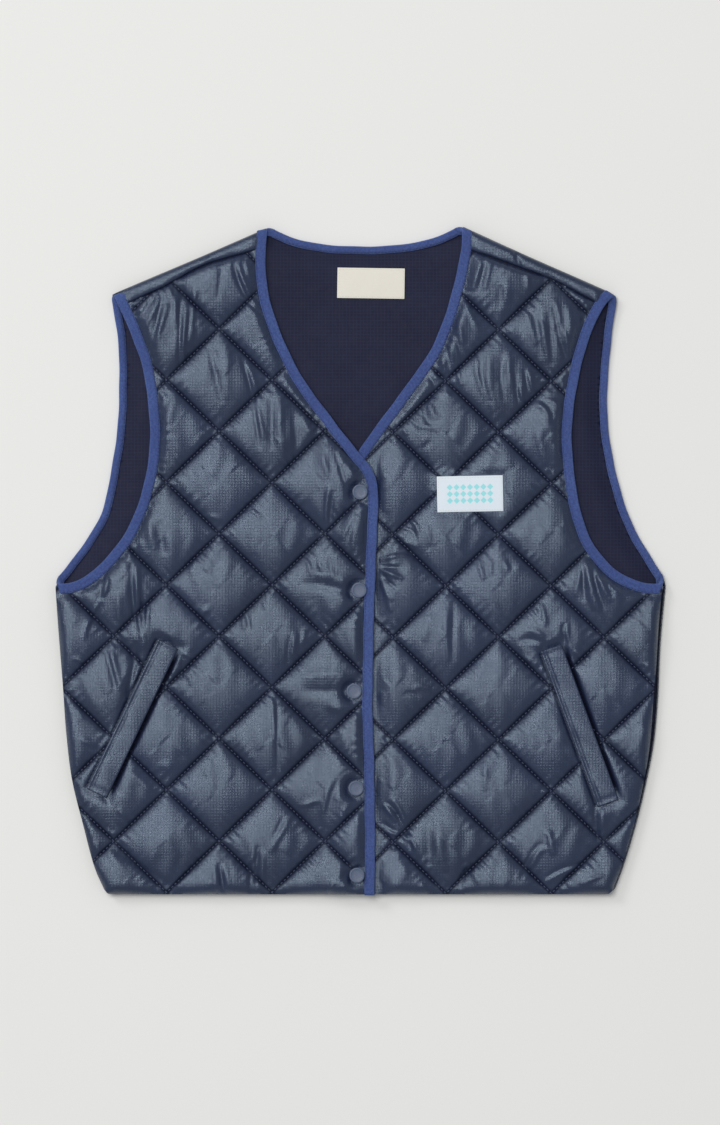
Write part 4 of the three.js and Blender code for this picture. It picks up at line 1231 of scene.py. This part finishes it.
def armhole_tape(name, front, back, side):
    """One ring of tape round an armhole, over the shoulder fold and the side fold."""
    front = trimmed(front, TURN_BACK, TURN_BACK)
    back = trimmed(back, TURN_BACK, TURN_BACK)
    parts = [
        (front, side, front_foot(front), TAPE_WIDTH, True),
        (back, side, back[:, 2], BACK_TAPE_WIDTH, False),
    ]
    return swept_tape(name, *route(parts, True), True)


def neck_tape():
    """One tape up the left front edge, round the back of the neck and down the right."""
    over = trimmed(neck_over, TURN_BACK, 0.0)
    back = trimmed(neck_back, TURN_BACK, TURN_BACK)
    under = trimmed(neck_under, TURN_BACK, 0.0)
    parts = [
        (over, -1, FRONT_INSIDE + lift_at(over[:, 0]), TAPE_WIDTH, True),
        (back, -1, back[:, 2], BACK_TAPE_WIDTH, False),
        (under, 1, front_foot(under), TAPE_WIDTH, False),
    ]
    return swept_tape("neck_tape", *route(parts, False), False)


def applied(thing):
    """Puts a piece's place, turn and size into its mesh."""
    only(thing)
    bpy.ops.object.transform_apply(location=True, rotation=True, scale=True)
    return thing


def edit_selecting(thing, chosen):
    """Opens edit mode with only the faces selected that chosen() accepts."""
    only(thing)
    bpy.ops.object.mode_set(mode="EDIT")
    bpy.ops.mesh.select_mode(type="FACE")
    bpy.ops.mesh.select_all(action="DESELECT")
    bpy.ops.object.mode_set(mode="OBJECT")
    for face in thing.data.polygons:
        face.select = chosen(face)
    bpy.ops.object.mode_set(mode="EDIT")


def flat_plate(name, plate, low, high, cuts, round_by):
    """A sewn-on strip of cloth: a cut-up block with soft edges, at its place and turn."""
    bpy.ops.object.select_all(action="DESELECT")
    bpy.ops.mesh.primitive_cube_add(size=1.0, location=(0, 0, 0))
    piece = bpy.context.active_object
    piece.name = name
    piece.data.name = name
    piece.scale = (plate["width"] * MILLIMETRE, plate["length"] * MILLIMETRE, (high - low) * MILLIMETRE)
    applied(piece)
    bpy.ops.object.mode_set(mode="EDIT")
    bpy.ops.mesh.select_all(action="SELECT")
    bpy.ops.mesh.bevel(offset=round_by * MILLIMETRE, segments=3, affect="EDGES")
    for axis, count, size in ((0, cuts[0], plate["width"]), (1, cuts[1], plate["length"])):
        for number in range(1, count):
            share = number / count - 0.5
            normal = [0, 0, 0]
            normal[axis] = 1
            spot = [0, 0, 0]
            spot[axis] = share * (size - 2 * round_by) * MILLIMETRE
            bpy.ops.mesh.select_all(action="SELECT")
            bpy.ops.mesh.bisect(plane_co=spot, plane_no=normal)
    bpy.ops.object.mode_set(mode="OBJECT")
    x, y, z = placed([(plate["x"], plate["y"], (low + high) / 2)])[0]
    piece.location = (x, y, z)
    piece.rotation_euler = (0, 0, plate["turn"])
    applied(piece)
    bpy.ops.object.shade_smooth()
    return piece


def pocket_welt(name, plate):
    """A folded welt over the pocket's slit, pressed down along its stitched edge."""
    welt = flat_plate(name, plate, 13.2, 16.7, (14, 90), 0.9)
    points = points_of(welt)
    across, along = plate_axes(plate, points)
    share = across / plate["width"] + 0.5
    top = smooth((points[:, 2] - 14.0) / 2.0)
    stitched = np.exp(-((share - WELT_SEAM_AT) / 0.055) ** 2)
    ends = np.exp(-((np.abs(along) - plate["length"] / 2 + 4.0) / 2.5) ** 2)
    swell = 0.5 * np.sin(np.pi * np.clip(share, 0, 1)) + 0.35 * np.sin(along / 11.0 + 3 * share)
    swell += 0.22 * np.sin(along / 4.3 + 5 * share) * (0.4 + stitched)
    points[:, 2] += top * (1.2 * swell - 1.3 * stitched - 0.7 * ends - 0.5)
    set_points(welt, points)
    return welt


def sewn_label(name, plate, low, high):
    """A small label, a little domed, with its corners held down by the stitches."""
    label = flat_plate(name, plate, low, high, (16, 10), 0.25)
    points = points_of(label)
    across, along = plate_axes(plate, points)
    swell = np.cos(np.pi * np.clip(across / plate["width"], -0.5, 0.5))
    swell = swell * np.cos(np.pi * np.clip(along / plate["length"], -0.5, 0.5))
    points[:, 2] += 0.5 * swell + 0.12 * np.sin(across / 4.0) * np.cos(along / 6.0)
    set_points(label, points)
    return label


def snap_cap(number, spot):
    """A pressed metal cap: a stem, a rounded rim and a shallow ring on its face."""
    bpy.ops.object.select_all(action="DESELECT")
    x, y, z = placed([(spot[0], spot[1], SNAP_TOP - 1.1)])[0]
    bpy.ops.mesh.primitive_cylinder_add(
        vertices=48, radius=SNAP_RADIUS * MILLIMETRE, depth=2.2 * MILLIMETRE, location=(x, y, z))
    cap = bpy.context.active_object
    cap.name = cap.data.name = "snap_cap_" + str(number) + "_enamelled"
    applied(cap)
    edit_selecting(cap, lambda face: face.normal.z > 0.9)
    bpy.ops.mesh.inset(thickness=0.9 * MILLIMETRE)
    bpy.ops.transform.translate(value=(0, 0, 0.25 * MILLIMETRE))
    bpy.ops.mesh.inset(thickness=0.5 * MILLIMETRE)
    bpy.ops.mesh.inset(thickness=0.35 * MILLIMETRE)
    bpy.ops.transform.translate(value=(0, 0, -0.3 * MILLIMETRE))
    bpy.ops.mesh.inset(thickness=2.2 * MILLIMETRE)
    bpy.ops.transform.translate(value=(0, 0, -0.12 * MILLIMETRE))
    bpy.ops.object.mode_set(mode="OBJECT")
    edit_selecting(cap, lambda face: face.normal.z < -0.9)
    bpy.ops.mesh.inset(thickness=1.6 * MILLIMETRE)
    bpy.ops.mesh.extrude_region_move(TRANSFORM_OT_translate={"value": (0, 0, -2.4 * MILLIMETRE)})
    bpy.ops.object.mode_set(mode="OBJECT")
    only(cap)
    soften = cap.modifiers.new("soften", "BEVEL")
    soften.width = 0.35 * MILLIMETRE
    soften.segments = 2
    soften.limit_method = "ANGLE"
    soften.angle_limit = math.radians(35)
    bpy.ops.object.modifier_apply(modifier="soften")
    bpy.ops.object.shade_smooth_by_angle(angle=math.radians(40))
    return cap


def surface_under(things):
    """What gives the height of the highest of these pieces at a point seen from above."""
    trees = []
    for thing in things:
        mesh = thing.data
        corners = [tuple(v.co) for v in mesh.vertices]
        trees.append(BVHTree.FromPolygons(corners, [tuple(face.vertices) for face in mesh.polygons]))

    def height(x, y):
        start = Vector(placed([(x, y, 60.0)])[0])
        found = [tree.ray_cast(start, Vector((0, 0, -1))) for tree in trees]
        levels = [hit[0].z / MILLIMETRE for hit in found if hit[0] is not None]
        return max(levels) if levels else None

    return height


def one_stitch(length, thickness):
    """A single stitch lying along X: a thread that dips into the cloth at both ends."""
    bpy.ops.object.select_all(action="DESELECT")
    bpy.ops.mesh.primitive_cylinder_add(
        vertices=6, radius=thickness / 2, depth=length * 0.5, rotation=(0, math.pi / 2, 0))
    stitch = applied(bpy.context.active_object)
    for sign in (-1, 1):
        edit_selecting(stitch, lambda face: face.normal.x * sign > 0.9)
        bpy.ops.mesh.extrude_region_move(
            TRANSFORM_OT_translate={"value": (sign * length * 0.22, 0, -thickness * 0.45)})
        bpy.ops.transform.resize(value=(1, 0.45, 0.45))
        bpy.ops.object.mode_set(mode="OBJECT")
    corners = np.array([list(v.co) for v in stitch.data.vertices])
    faces = [list(face.vertices) for face in stitch.data.polygons]
    bpy.data.objects.remove(stitch)
    return corners, faces


# Stitches: length, gap to the next, thickness of the thread, and height above the cloth
QUILT_STITCH = (2.9, 1.1, 0.9, 0.34)
TAPE_STITCH = (2.2, 1.0, 0.6, 0.18)
WELT_STITCH = (2.4, 0.9, 0.6, 0.08)
LABEL_STITCH = (1.8, 0.7, 0.4, 0.04)


def sewn(name, lines, height, stitch, keep=None):
    """Rows of stitches along lines, laid on the cloth and joined into one piece."""
    length, gap, thickness, lift = stitch
    corners, faces = one_stitch(length, thickness)
    rows = [respaced(np.asarray(line, float)[:, :2], length + gap) for line in lines]
    middles = np.vstack([(row[:-1] + row[1:]) / 2 for row in rows])
    ways = np.vstack([np.diff(row, axis=0) for row in rows])
    ways /= np.linalg.norm(ways, axis=1)[:, None]
    if keep is not None:
        kept = keep(middles)
        middles, ways = middles[kept], ways[kept]
    all_points, all_faces = [], []
    for middle, way in zip(middles, ways):
        level = height(*middle)
        ahead = height(*(middle + way * length * 0.4))
        behind = height(*(middle - way * length * 0.4))
        if level is None or ahead is None or behind is None:
            continue
        rise = np.clip(ahead - behind, -1.5, 1.5)
        forward = np.array([way[0] * length * 0.8, way[1] * length * 0.8, rise])
        forward /= np.linalg.norm(forward)
        sideways = np.array([-way[1], way[0], 0.0])
        upward = np.cross(forward, sideways)
        spot = np.array([middle[0], middle[1], max(level, (ahead + behind) / 2) + lift])
        base = len(all_points) * len(corners)
        turned = spot + corners[:, :1] * forward + corners[:, 1:2] * sideways + corners[:, 2:] * upward
        all_points.append(turned)
        all_faces += [tuple(base + i for i in face) for face in faces]
    return bare_mesh(name, np.vstack(all_points), all_faces)


def quilting_lines(lattice, outline):
    """The slanted lines of a front's quilting, from edge to edge of its outline's box."""
    low, high = outline.min(axis=0), outline.max(axis=0)
    reach = DIAMOND_HEIGHT / DIAMOND_WIDTH
    lines = []
    for sign in (-1, 1):
        for number in range(-12, 13):
            at_low = lattice[1] + sign * reach * (low[0] - lattice[0]) + number * DIAMOND_HEIGHT
            at_high = lattice[1] + sign * reach * (high[0] - lattice[0]) + number * DIAMOND_HEIGHT
            if max(at_low, at_high) > low[1] and min(at_low, at_high) < high[1]:
                lines.append(np.array([(low[0], at_low), (high[0], at_high)]))
    return lines


def shade(red, green, blue):
    """A colour as seen on a screen, 0 to 255, as the linear colour that Blender mixes."""
    values = [c / 255 for c in (red, green, blue)]
    linear = [c / 12.92 if c <= 0.04045 else ((c + 0.055) / 1.055) ** 2.4 for c in values]
    return (*linear, 1.0)


class Wiring:
    """Adds nodes to a node tree and joins their sockets."""

    def __init__(self, tree):
        self.tree = tree

    def node(self, kind, **settings):
        made = self.tree.nodes.new(kind)
        inputs = settings.pop("inputs", {})
        for name, value in settings.items():
            setattr(made, name, value)
        for name, value in inputs.items():
            if isinstance(value, bpy.types.NodeSocket):
                self.tree.links.new(value, made.inputs[name])
            else:
                made.inputs[name].default_value = value
        return made

    def join(self, source, target):
        self.tree.links.new(source, target)

    def math(self, operation, first, second=0.0):
        return self.node("ShaderNodeMath", operation=operation, inputs={0: first, 1: second}).outputs[0]

    def ranged(self, value, low, high, to_low=0.0, to_high=1.0):
        made = self.node("ShaderNodeMapRange", interpolation_type="SMOOTHSTEP", inputs={
            "Value": value, "From Min": low, "From Max": high, "To Min": to_low, "To Max": to_high})
        return made.outputs["Result"]


def node_group(name, inputs, outputs):
    """A shader node group with its named sockets, and the wiring to fill it."""
    group = bpy.data.node_groups.new(name, "ShaderNodeTree")
    for label, kind, value in inputs:
        socket = group.interface.new_socket(name=label, in_out="INPUT", socket_type=kind)
        if value is not None:
            socket.default_value = value
    for label, kind in outputs:
        group.interface.new_socket(name=label, in_out="OUTPUT", socket_type=kind)
    wiring = Wiring(group)
    return group, wiring, wiring.node("NodeGroupInput"), wiring.node("NodeGroupOutput")


def thread_lines(wiring, position, pitch, width):
    """1 on evenly spaced lines across one coordinate, 0 between them."""
    away = wiring.math("PINGPONG", position, wiring.math("MULTIPLY", pitch, 0.5))
    return wiring.ranged(away, 0.0, width, 1.0, 0.0)


def ripstop_group():
    """The heavier threads of ripstop cloth, in a square grid, and its fine plain weave."""
    group, wiring, given, out = node_group(
        "ripstop_grid",
        [("Vector", "NodeSocketVector", None), ("Pitch", "NodeSocketFloat", 0.0027),
         ("Thread", "NodeSocketFloat", 0.0005)],
        [("Grid", "NodeSocketFloat"), ("Weave", "NodeSocketFloat")])
    axes = wiring.node("ShaderNodeSeparateXYZ", inputs={0: given.outputs["Vector"]}).outputs
    across = thread_lines(wiring, axes["X"], given.outputs["Pitch"], given.outputs["Thread"])
    along = thread_lines(wiring, axes["Y"], given.outputs["Pitch"], given.outputs["Thread"])
    wiring.join(wiring.math("MAXIMUM", across, along), out.inputs["Grid"])
    fine = 2 * math.pi / 0.0009
    over = wiring.math("SINE", wiring.math("MULTIPLY", axes["X"], fine))
    under = wiring.math("SINE", wiring.math("MULTIPLY", axes["Y"], fine))
    wiring.join(wiring.math("MULTIPLY", over, under), out.inputs["Weave"])
    return group


def unevenness_group():
    """Slow and quick changes over a surface, as handled cloth has."""
    group, wiring, given, out = node_group(
        "cloth_unevenness",
        [("Vector", "NodeSocketVector", None), ("Size", "NodeSocketFloat", 20.0)],
        [("Patches", "NodeSocketFloat"), ("Crumple", "NodeSocketFloat")])
    wide = wiring.node("ShaderNodeTexNoise", inputs={
        "Vector": given.outputs["Vector"], "Scale": given.outputs["Size"], "Detail": 3.0})
    quick = wiring.node("ShaderNodeTexNoise", inputs={
        "Vector": given.outputs["Vector"], "Scale": wiring.math("MULTIPLY", given.outputs["Size"], 7.0),
        "Detail": 4.0, "Roughness": 0.55, "Distortion": 0.8})
    wiring.join(wide.outputs["Fac"], out.inputs["Patches"])
    wiring.join(quick.outputs["Fac"], out.inputs["Crumple"])
    return group


def twill_group():
    """Slanting ribs across a tape, from its UV map."""
    group, wiring, given, out = node_group(
        "tape_twill",
        [("Vector", "NodeSocketVector", None), ("Rib", "NodeSocketFloat", 0.0011)],
        [("Rib height", "NodeSocketFloat"), ("Fleck", "NodeSocketFloat")])
    axes = wiring.node("ShaderNodeSeparateXYZ", inputs={0: given.outputs["Vector"]}).outputs
    slant = wiring.math("ADD", axes["X"], wiring.math("MULTIPLY", axes["Y"], 1.6))
    phase = wiring.math("DIVIDE", wiring.math("MULTIPLY", slant, 2 * math.pi), given.outputs["Rib"])
    wiring.join(wiring.math("SINE", phase), out.inputs["Rib height"])
    fleck = wiring.node("ShaderNodeTexNoise", inputs={
        "Vector": given.outputs["Vector"], "Scale": 480.0, "Detail": 2.5, "Roughness": 0.6})
    wiring.join(fleck.outputs["Fac"], out.inputs["Fleck"])
    return group


def new_material(name):
    """An empty material, its wiring and its Principled shader."""
    material = bpy.data.materials.new(name)
    material.use_nodes = True
    wiring = Wiring(material.node_tree)
    return material, wiring, material.node_tree.nodes["Principled BSDF"]


def mixed(wiring, share, first, second):
    """A colour, plain or from another node, mixed towards a second one."""
    colours = {"Factor": share, 6: first, 7: second}
    return wiring.node("ShaderNodeMix", data_type="RGBA", inputs=colours).outputs[2]


def grouped(wiring, group, **inputs):
    """The outputs of a shared group, placed with these inputs."""
    return wiring.node("ShaderNodeGroup", node_tree=group, inputs=inputs).outputs


def bumped(wiring, shader, height, strength, distance):
    bump = wiring.node("ShaderNodeBump", inputs={
        "Strength": strength, "Distance": distance, "Height": height})
    wiring.join(bump.outputs["Normal"], shader.inputs["Normal"])


def cloth_material(name, dark, light, thread, pitch, roughness, grid_show, uneven):
    """Ripstop cloth: patchy colour, a square grid of heavier threads, fine crumple."""
    material, wiring, shader = new_material(name)
    where = wiring.node("ShaderNodeTexCoord").outputs["Object"]
    grid = grouped(wiring, RIPSTOP, Vector=where, Pitch=pitch, Thread=pitch * 0.2)
    change = grouped(wiring, UNEVEN, Vector=where, Size=uneven)
    base = mixed(wiring, wiring.ranged(change["Patches"], 0.3, 0.7), dark, light)
    shown = wiring.math("MULTIPLY", grid["Grid"], grid_show)
    wiring.join(mixed(wiring, shown, base, thread), shader.inputs["Base Color"])
    rough = wiring.ranged(change["Crumple"], 0.25, 0.75, roughness - 0.05, roughness + 0.06)
    wiring.join(rough, shader.inputs["Roughness"])
    squares = wiring.math("MULTIPLY", grid["Grid"], 0.34)
    weave = wiring.math("MULTIPLY", grid["Weave"], 0.18)
    height = wiring.math("ADD", squares, wiring.math("ADD", weave, change["Crumple"]))
    bumped(wiring, shader, height, 0.5, 0.00035)
    return material, shader


def shell_material():
    material, shader = cloth_material(
        "shell_ripstop_nylon", shade(25, 33, 58), shade(32, 41, 68), shade(19, 25, 46),
        0.0027, 0.29, 0.3, 14.0)
    wiring = Wiring(material.node_tree)
    # Painted shade: in the quilting grooves, the pockets' slits and the welts' furrows, the mask mixes
    # the colour towards a deep navy and lowers the specular level (and raises the roughness).
    groove = wiring.node("ShaderNodeAttribute", attribute_name="painted_groove_shade").outputs["Fac"]
    colour = shader.inputs["Base Color"].links[0].from_socket
    shared = wiring.math("MULTIPLY", groove, 0.8)
    wiring.join(mixed(wiring, shared, colour, shade(12, 14, 29)), shader.inputs["Base Color"])
    rough = wiring.math("ADD", shader.inputs["Roughness"].links[0].from_socket, wiring.math(
        "MULTIPLY", groove, 0.25))
    wiring.join(rough, shader.inputs["Roughness"])
    shine = wiring.ranged(groove, 0.0, 1.0, 0.86, 0.12)
    wiring.join(shine, shader.inputs["Specular IOR Level"])
    shader.inputs["Specular Tint"].default_value = (0.7, 0.85, 1.0, 1.0)
    shader.inputs["Sheen Weight"].default_value = 0.06
    shader.inputs["Sheen Roughness"].default_value = 0.35
    return material


def lining_material():
    material, shader = cloth_material(
        "lining_ripstop", shade(25, 28, 49), shade(29, 32, 54), shade(40, 43, 68),
        0.0032, 0.62, 0.5, 18.0)
    shader.inputs["Specular IOR Level"].default_value = 0.15
    return material


def tape_material():
    material, wiring, shader = new_material("bias_tape_twill")
    where = wiring.node("ShaderNodeUVMap", uv_map="along").outputs["UV"]
    twill = grouped(wiring, TWILL, Vector=where, Rib=0.0012)
    spot = wiring.node("ShaderNodeTexCoord").outputs["Object"]
    change = grouped(wiring, UNEVEN, Vector=spot, Size=30.0)
    patches = wiring.ranged(change["Patches"], 0.3, 0.7)
    base = mixed(wiring, patches, shade(68, 90, 152), shade(78, 102, 166))
    speck = wiring.math("MULTIPLY", wiring.math("SUBTRACT", twill["Fleck"], 0.5), 7.0)
    rib = wiring.ranged(wiring.math("ADD", twill["Rib height"], speck), -1.2, 1.0, 0.9, 0.0)
    wiring.join(mixed(wiring, rib, base, shade(44, 62, 122)), shader.inputs["Base Color"])
    shader.inputs["Roughness"].default_value = 0.72
    shader.inputs["Sheen Weight"].default_value = 0.25
    shader.inputs["Sheen Roughness"].default_value = 0.5
    shader.inputs["Sheen Tint"].default_value = shade(150, 175, 235)
    height = wiring.math("ADD", twill["Rib height"], wiring.math("MULTIPLY", twill["Fleck"], 0.8))
    bumped(wiring, shader, height, 0.9, 0.0002)
    return material


def thread_material(name, colour, painted_glint):
    material, wiring, shader = new_material(name)
    where = wiring.node("ShaderNodeTexCoord").outputs["Object"]
    # Painted glint: the fine noise that bumps the thread also mixes lighter specks of the glint colour
    # into its colour.
    twist_and_painted_glint = wiring.node("ShaderNodeTexNoise", inputs={"Vector": where, "Scale": 1800.0, "Detail": 2.0})
    wiring.join(mixed(wiring, twist_and_painted_glint.outputs["Fac"], colour, painted_glint), shader.inputs["Base Color"])
    shader.inputs["Roughness"].default_value = 0.45
    bumped(wiring, shader, twist_and_painted_glint.outputs["Fac"], 0.4, 0.0001)
    return material


def snap_material():
    """Slate enamel on a pressed cap, rubbed lighter in random patches."""
    material, wiring, shader = new_material("snap_enamel")
    where = wiring.node("ShaderNodeTexCoord").outputs["Object"]
    change = grouped(wiring, UNEVEN, Vector=where, Size=160.0)
    rub = wiring.ranged(change["Crumple"], 0.45, 0.8)
    enamel = mixed(wiring, rub, shade(72, 84, 108), shade(96, 108, 130))
    wiring.join(enamel, shader.inputs["Base Color"])
    wiring.join(wiring.ranged(change["Patches"], 0.2, 0.8, 0.42, 0.6), shader.inputs["Roughness"])
    bumped(wiring, shader, change["Crumple"], 0.12, 0.0001)
    return material


def label_material(name, ground, shadow, threads_across, motif=None, plate=None):
    """Woven label cloth with fine ribs, and where asked a plain woven block of colour."""
    material, wiring, shader = new_material(name)
    where = wiring.node("ShaderNodeTexCoord").outputs["Object"]
    grid = grouped(wiring, RIPSTOP, Vector=where, Pitch=threads_across, Thread=threads_across * 0.35)
    change = grouped(wiring, UNEVEN, Vector=where, Size=60.0)
    colour = mixed(wiring, wiring.math("MULTIPLY", grid["Grid"], 0.3), ground, shadow)
    if motif is not None:
        middle = placed([(plate["x"], plate["y"], 0.0)])[0]
        turned = wiring.node("ShaderNodeMapping", vector_type="TEXTURE", inputs={
            "Vector": where, "Location": (middle[0], middle[1], 0.0),
            "Rotation": (0.0, 0.0, plate["turn"])})
        axes = wiring.node("ShaderNodeSeparateXYZ", inputs={0: turned.outputs["Vector"]}).outputs
        shown = diamond_band(wiring, axes["X"], axes["Y"])
        colour = mixed(wiring, shown, colour, motif)
    wiring.join(colour, shader.inputs["Base Color"])
    wiring.join(wiring.ranged(change["Patches"], 0.2, 0.8, 0.6, 0.75), shader.inputs["Roughness"])
    height = wiring.math("ADD", grid["Grid"], wiring.math("MULTIPLY", grid["Weave"], 0.5))
    bumped(wiring, shader, height, 0.5, 0.0001)
    return material


BAND_STEP = 0.0062


def diamond_band(wiring, across, along):
    """A generic woven band: three rows of small diamonds in a plain rectangle."""
    x = wiring.math("PINGPONG", across, BAND_STEP / 2)
    y = wiring.math("PINGPONG", along, BAND_STEP / 2)
    diamonds = wiring.ranged(wiring.math("ADD", x, y), 0.0027, 0.0031, 1.0, 0.0)
    wide = wiring.ranged(wiring.math("ABSOLUTE", across), 0.0215, 0.0218, 1.0, 0.0)
    tall = wiring.ranged(wiring.math("ABSOLUTE", along), 0.0091, 0.0093, 1.0, 0.0)
    return wiring.math("MULTIPLY", wiring.math("MULTIPLY", diamonds, wide), tall)


def floor_material():
    material, wiring, shader = new_material("pale_floor")
    where = wiring.node("ShaderNodeTexCoord").outputs["Object"]
    change = grouped(wiring, UNEVEN, Vector=where, Size=0.7)
    base = mixed(wiring, change["Patches"], shade(228, 227, 223), shade(231, 230, 226))
    wiring.join(base, shader.inputs["Base Color"])
    shader.inputs["Roughness"].default_value = 0.9
    shader.inputs["Specular IOR Level"].default_value = 0.1
    return material


def dressed(thing, material, slot=None, *nodes):
    """Gives a piece its material and its body, and hides the solids from model.glb that it stands for;
    slot is not used.
    """
    thing.data.materials.clear()
    thing.data.materials.append(material)
    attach(thing, "root")
    if nodes:
        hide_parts(*nodes)
    return thing


CAMERA_HEIGHT = 6.0
PICTURE_HEIGHT = 1.035
PICTURE_MIDDLE = (-0.0003, -0.0019)
SENSOR = 36.0
SOFTBOXES = [
    ("softbox_above", (-1.25, 1.2, 6.0), 2.7, 202.0),
    ("softbox_upper_left", (-4.2, 3.8, 4.6), 2.2, 114.0),
]


def camera():
    """Straight above, far off with a long lens, the picture's whole frame round the vest."""
    lens = bpy.data.cameras.new("overhead")
    lens.sensor_fit = "AUTO"
    lens.sensor_width = SENSOR
    lens.lens = SENSOR * (CAMERA_HEIGHT - 0.012) / PICTURE_HEIGHT
    seen_from = bpy.data.objects.new("overhead", lens)
    seen_from.location = (*PICTURE_MIDDLE, CAMERA_HEIGHT)
    bpy.context.scene.collection.objects.link(seen_from)
    bpy.context.scene.camera = seen_from


def softbox(name, spot, size, power):
    """A square light aimed at the vest's middle, itself out of sight."""
    lamp = bpy.data.lights.new(name, "AREA")
    lamp.shape = "SQUARE"
    lamp.size = size
    lamp.energy = power
    box = bpy.data.objects.new(name, lamp)
    box.location = spot
    box.rotation_euler = (-Vector(spot)).to_track_quat("-Z", "Y").to_euler()
    box.visible_camera = False
    bpy.context.scene.collection.objects.link(box)


def studio():
    bpy.ops.object.select_all(action="DESELECT")
    bpy.ops.mesh.primitive_plane_add(size=14.0, location=(0, 0, -0.0002))
    floor = bpy.context.active_object
    floor.name = "floor"
    applied(floor)
    floor.data.materials.append(floor_material())
    world = bpy.data.worlds.new("studio")
    world.use_nodes = True
    world.node_tree.nodes["Background"].inputs["Color"].default_value = (0.93, 0.96, 1.0, 1.0)
    world.node_tree.nodes["Background"].inputs["Strength"].default_value = 0.42
    bpy.context.scene.world = world
    for lamp in SOFTBOXES:
        softbox(*lamp)


RIPSTOP = ripstop_group()
UNEVEN = unevenness_group()
TWILL = twill_group()
shell = shell_material()
lining = lining_material()
tape = tape_material()
# Each thread's second colour is its painted glint.
quilt_thread = thread_material("navy_thread", shade(36, 42, 70), shade(76, 86, 116))
tape_thread = thread_material("blue_thread", shade(28, 38, 80), shade(50, 64, 114))
cream_thread = thread_material("cream_thread", shade(205, 200, 188), shade(232, 228, 218))
snap_enamel = snap_material()
patch_cloth = label_material(
    "patch_label_cloth", shade(222, 230, 236), shade(190, 202, 214), 0.0011,
    shade(150, 218, 222), CHEST_LABEL)
woven_cloth = label_material("woven_label_cloth", shade(228, 223, 211), shade(196, 188, 172), 0.0008)

panels = {}
for panel_name in FRONTS:
    panels[panel_name] = dressed(quilted_front(panel_name), shell, "shell_ripstop", panel_name)

back = dressed(back_panel(), shell, "shell_ripstop", "back_panel")
inner_lining = dressed(back_lining(), lining, "lining_ripstop")
strips = [
    shoulder_strip("shoulder_strip_left", fold_left, seam_left, (-221.0, -86.4), 0.0),
    shoulder_strip("shoulder_strip_right", fold_right, seam_right, (95.0, 230.0), 8.0),
]
for strip in strips:
    dressed(strip, shell, "shell_ripstop")

neck = dressed(
    neck_tape(), tape, "bias_tape", "binding_front_over", "binding_neck_back", "binding_front_under")
armhole_tapes = [
    dressed(
        armhole_tape("armhole_tape_left", armhole_left, back_armhole_left, 1), tape, "bias_tape",
        "binding_armhole_front_left", "binding_armhole_back_left"),
    dressed(
        armhole_tape("armhole_tape_right", armhole_right, back_armhole_right, -1), tape, "bias_tape",
        "binding_armhole_front_right", "binding_armhole_back_right"),
]

welts = [
    dressed(pocket_welt(side + "_folded", plate), shell, "shell_ripstop", side)
    for side, plate in (("pocket_welt_left", WELT_LEFT), ("pocket_welt_right", WELT_RIGHT))
]
chest = dressed(
    sewn_label("chest_label_patch", CHEST_LABEL, 14.6, 15.7), patch_cloth, "patch_label", "chest_label")
collar = dressed(
    sewn_label("neck_label_woven", NECK_LABEL, 7.2, 8.2), woven_cloth, "woven_label", "neck_label")
for number, spot in enumerate(SNAPS, start=1):
    dressed(snap_cap(number, spot), snap_enamel, "snap_enamel", "snap_cap_" + str(number))

for panel_name, front in FRONTS.items():
    panel = panels[panel_name]
    outline = front["outline"]

    def on_cloth(spots, front=front, outline=outline):
        clear = inside(outline, spots) & (distance_to(front["bound"], spots) > TAPE_WIDTH)
        for plate in front["plates"]:
            clear &= on_plate(plate, spots, 0.5) < 0.1
        for snap in front["snaps"]:
            clear &= np.linalg.norm(spots - snap, axis=1) > SNAP_RADIUS
        return clear

    rows = quilting_lines(front["lattice"], outline)
    stitches_name = "quilt_stitches_" + panel_name.split("_")[-1]
    dressed(sewn(stitches_name, rows, surface_under([panel]), QUILT_STITCH, on_cloth), quilt_thread)

for line_name, tape_piece, line, side, width in (
    ("tape_stitches_over", neck, neck_over, -1, TAPE_WIDTH),
    ("tape_stitches_under", neck, neck_under, 1, TAPE_WIDTH),
    ("tape_stitches_armhole_left", armhole_tapes[0], armhole_left, 1, TAPE_WIDTH),
    ("tape_stitches_armhole_right", armhole_tapes[1], armhole_right, -1, TAPE_WIDTH),
    ("tape_stitches_back_left", armhole_tapes[0], back_armhole_left, 1, BACK_TAPE_WIDTH),
    ("tape_stitches_back_right", armhole_tapes[1], back_armhole_right, -1, BACK_TAPE_WIDTH),
    ("tape_stitches_neck", neck, neck_back, -1, BACK_TAPE_WIDTH),
):
    inner_edge = trimmed(moved_line(line, side * (width - 1.1)), 6.0, 6.0)
    dressed(sewn(line_name, [inner_edge], surface_under([tape_piece]), TAPE_STITCH), tape_thread)

WELT_SEWING = ((WELT_SEAM_AT - 0.5,), 0.965, (-0.475, 0.475), 0.9)
LABEL_SEWING = ((-0.475, 0.475), 0.93, (-0.45, 0.45), 0.95)
for label, piece, plate, sewing, stitch, thread in (
    ("welt_stitches_left", welts[0], WELT_LEFT, WELT_SEWING, WELT_STITCH, quilt_thread),
    ("welt_stitches_right", welts[1], WELT_RIGHT, WELT_SEWING, WELT_STITCH, quilt_thread),
    ("chest_label_stitches", chest, CHEST_LABEL, LABEL_SEWING, LABEL_STITCH, cream_thread),
    ("neck_label_stitches", collar, NECK_LABEL, LABEL_SEWING, LABEL_STITCH, cream_thread),
):
    across, row_reach, ends, end_reach = sewing
    rows = [plate_row(plate, share, row_reach) for share in across]
    rows += [plate_end(plate, share, end_reach) for share in ends]
    dressed(sewn(label, rows, surface_under([piece]), stitch), thread)

camera()
studio()
bpy.context.scene.view_settings.view_transform = "Standard"
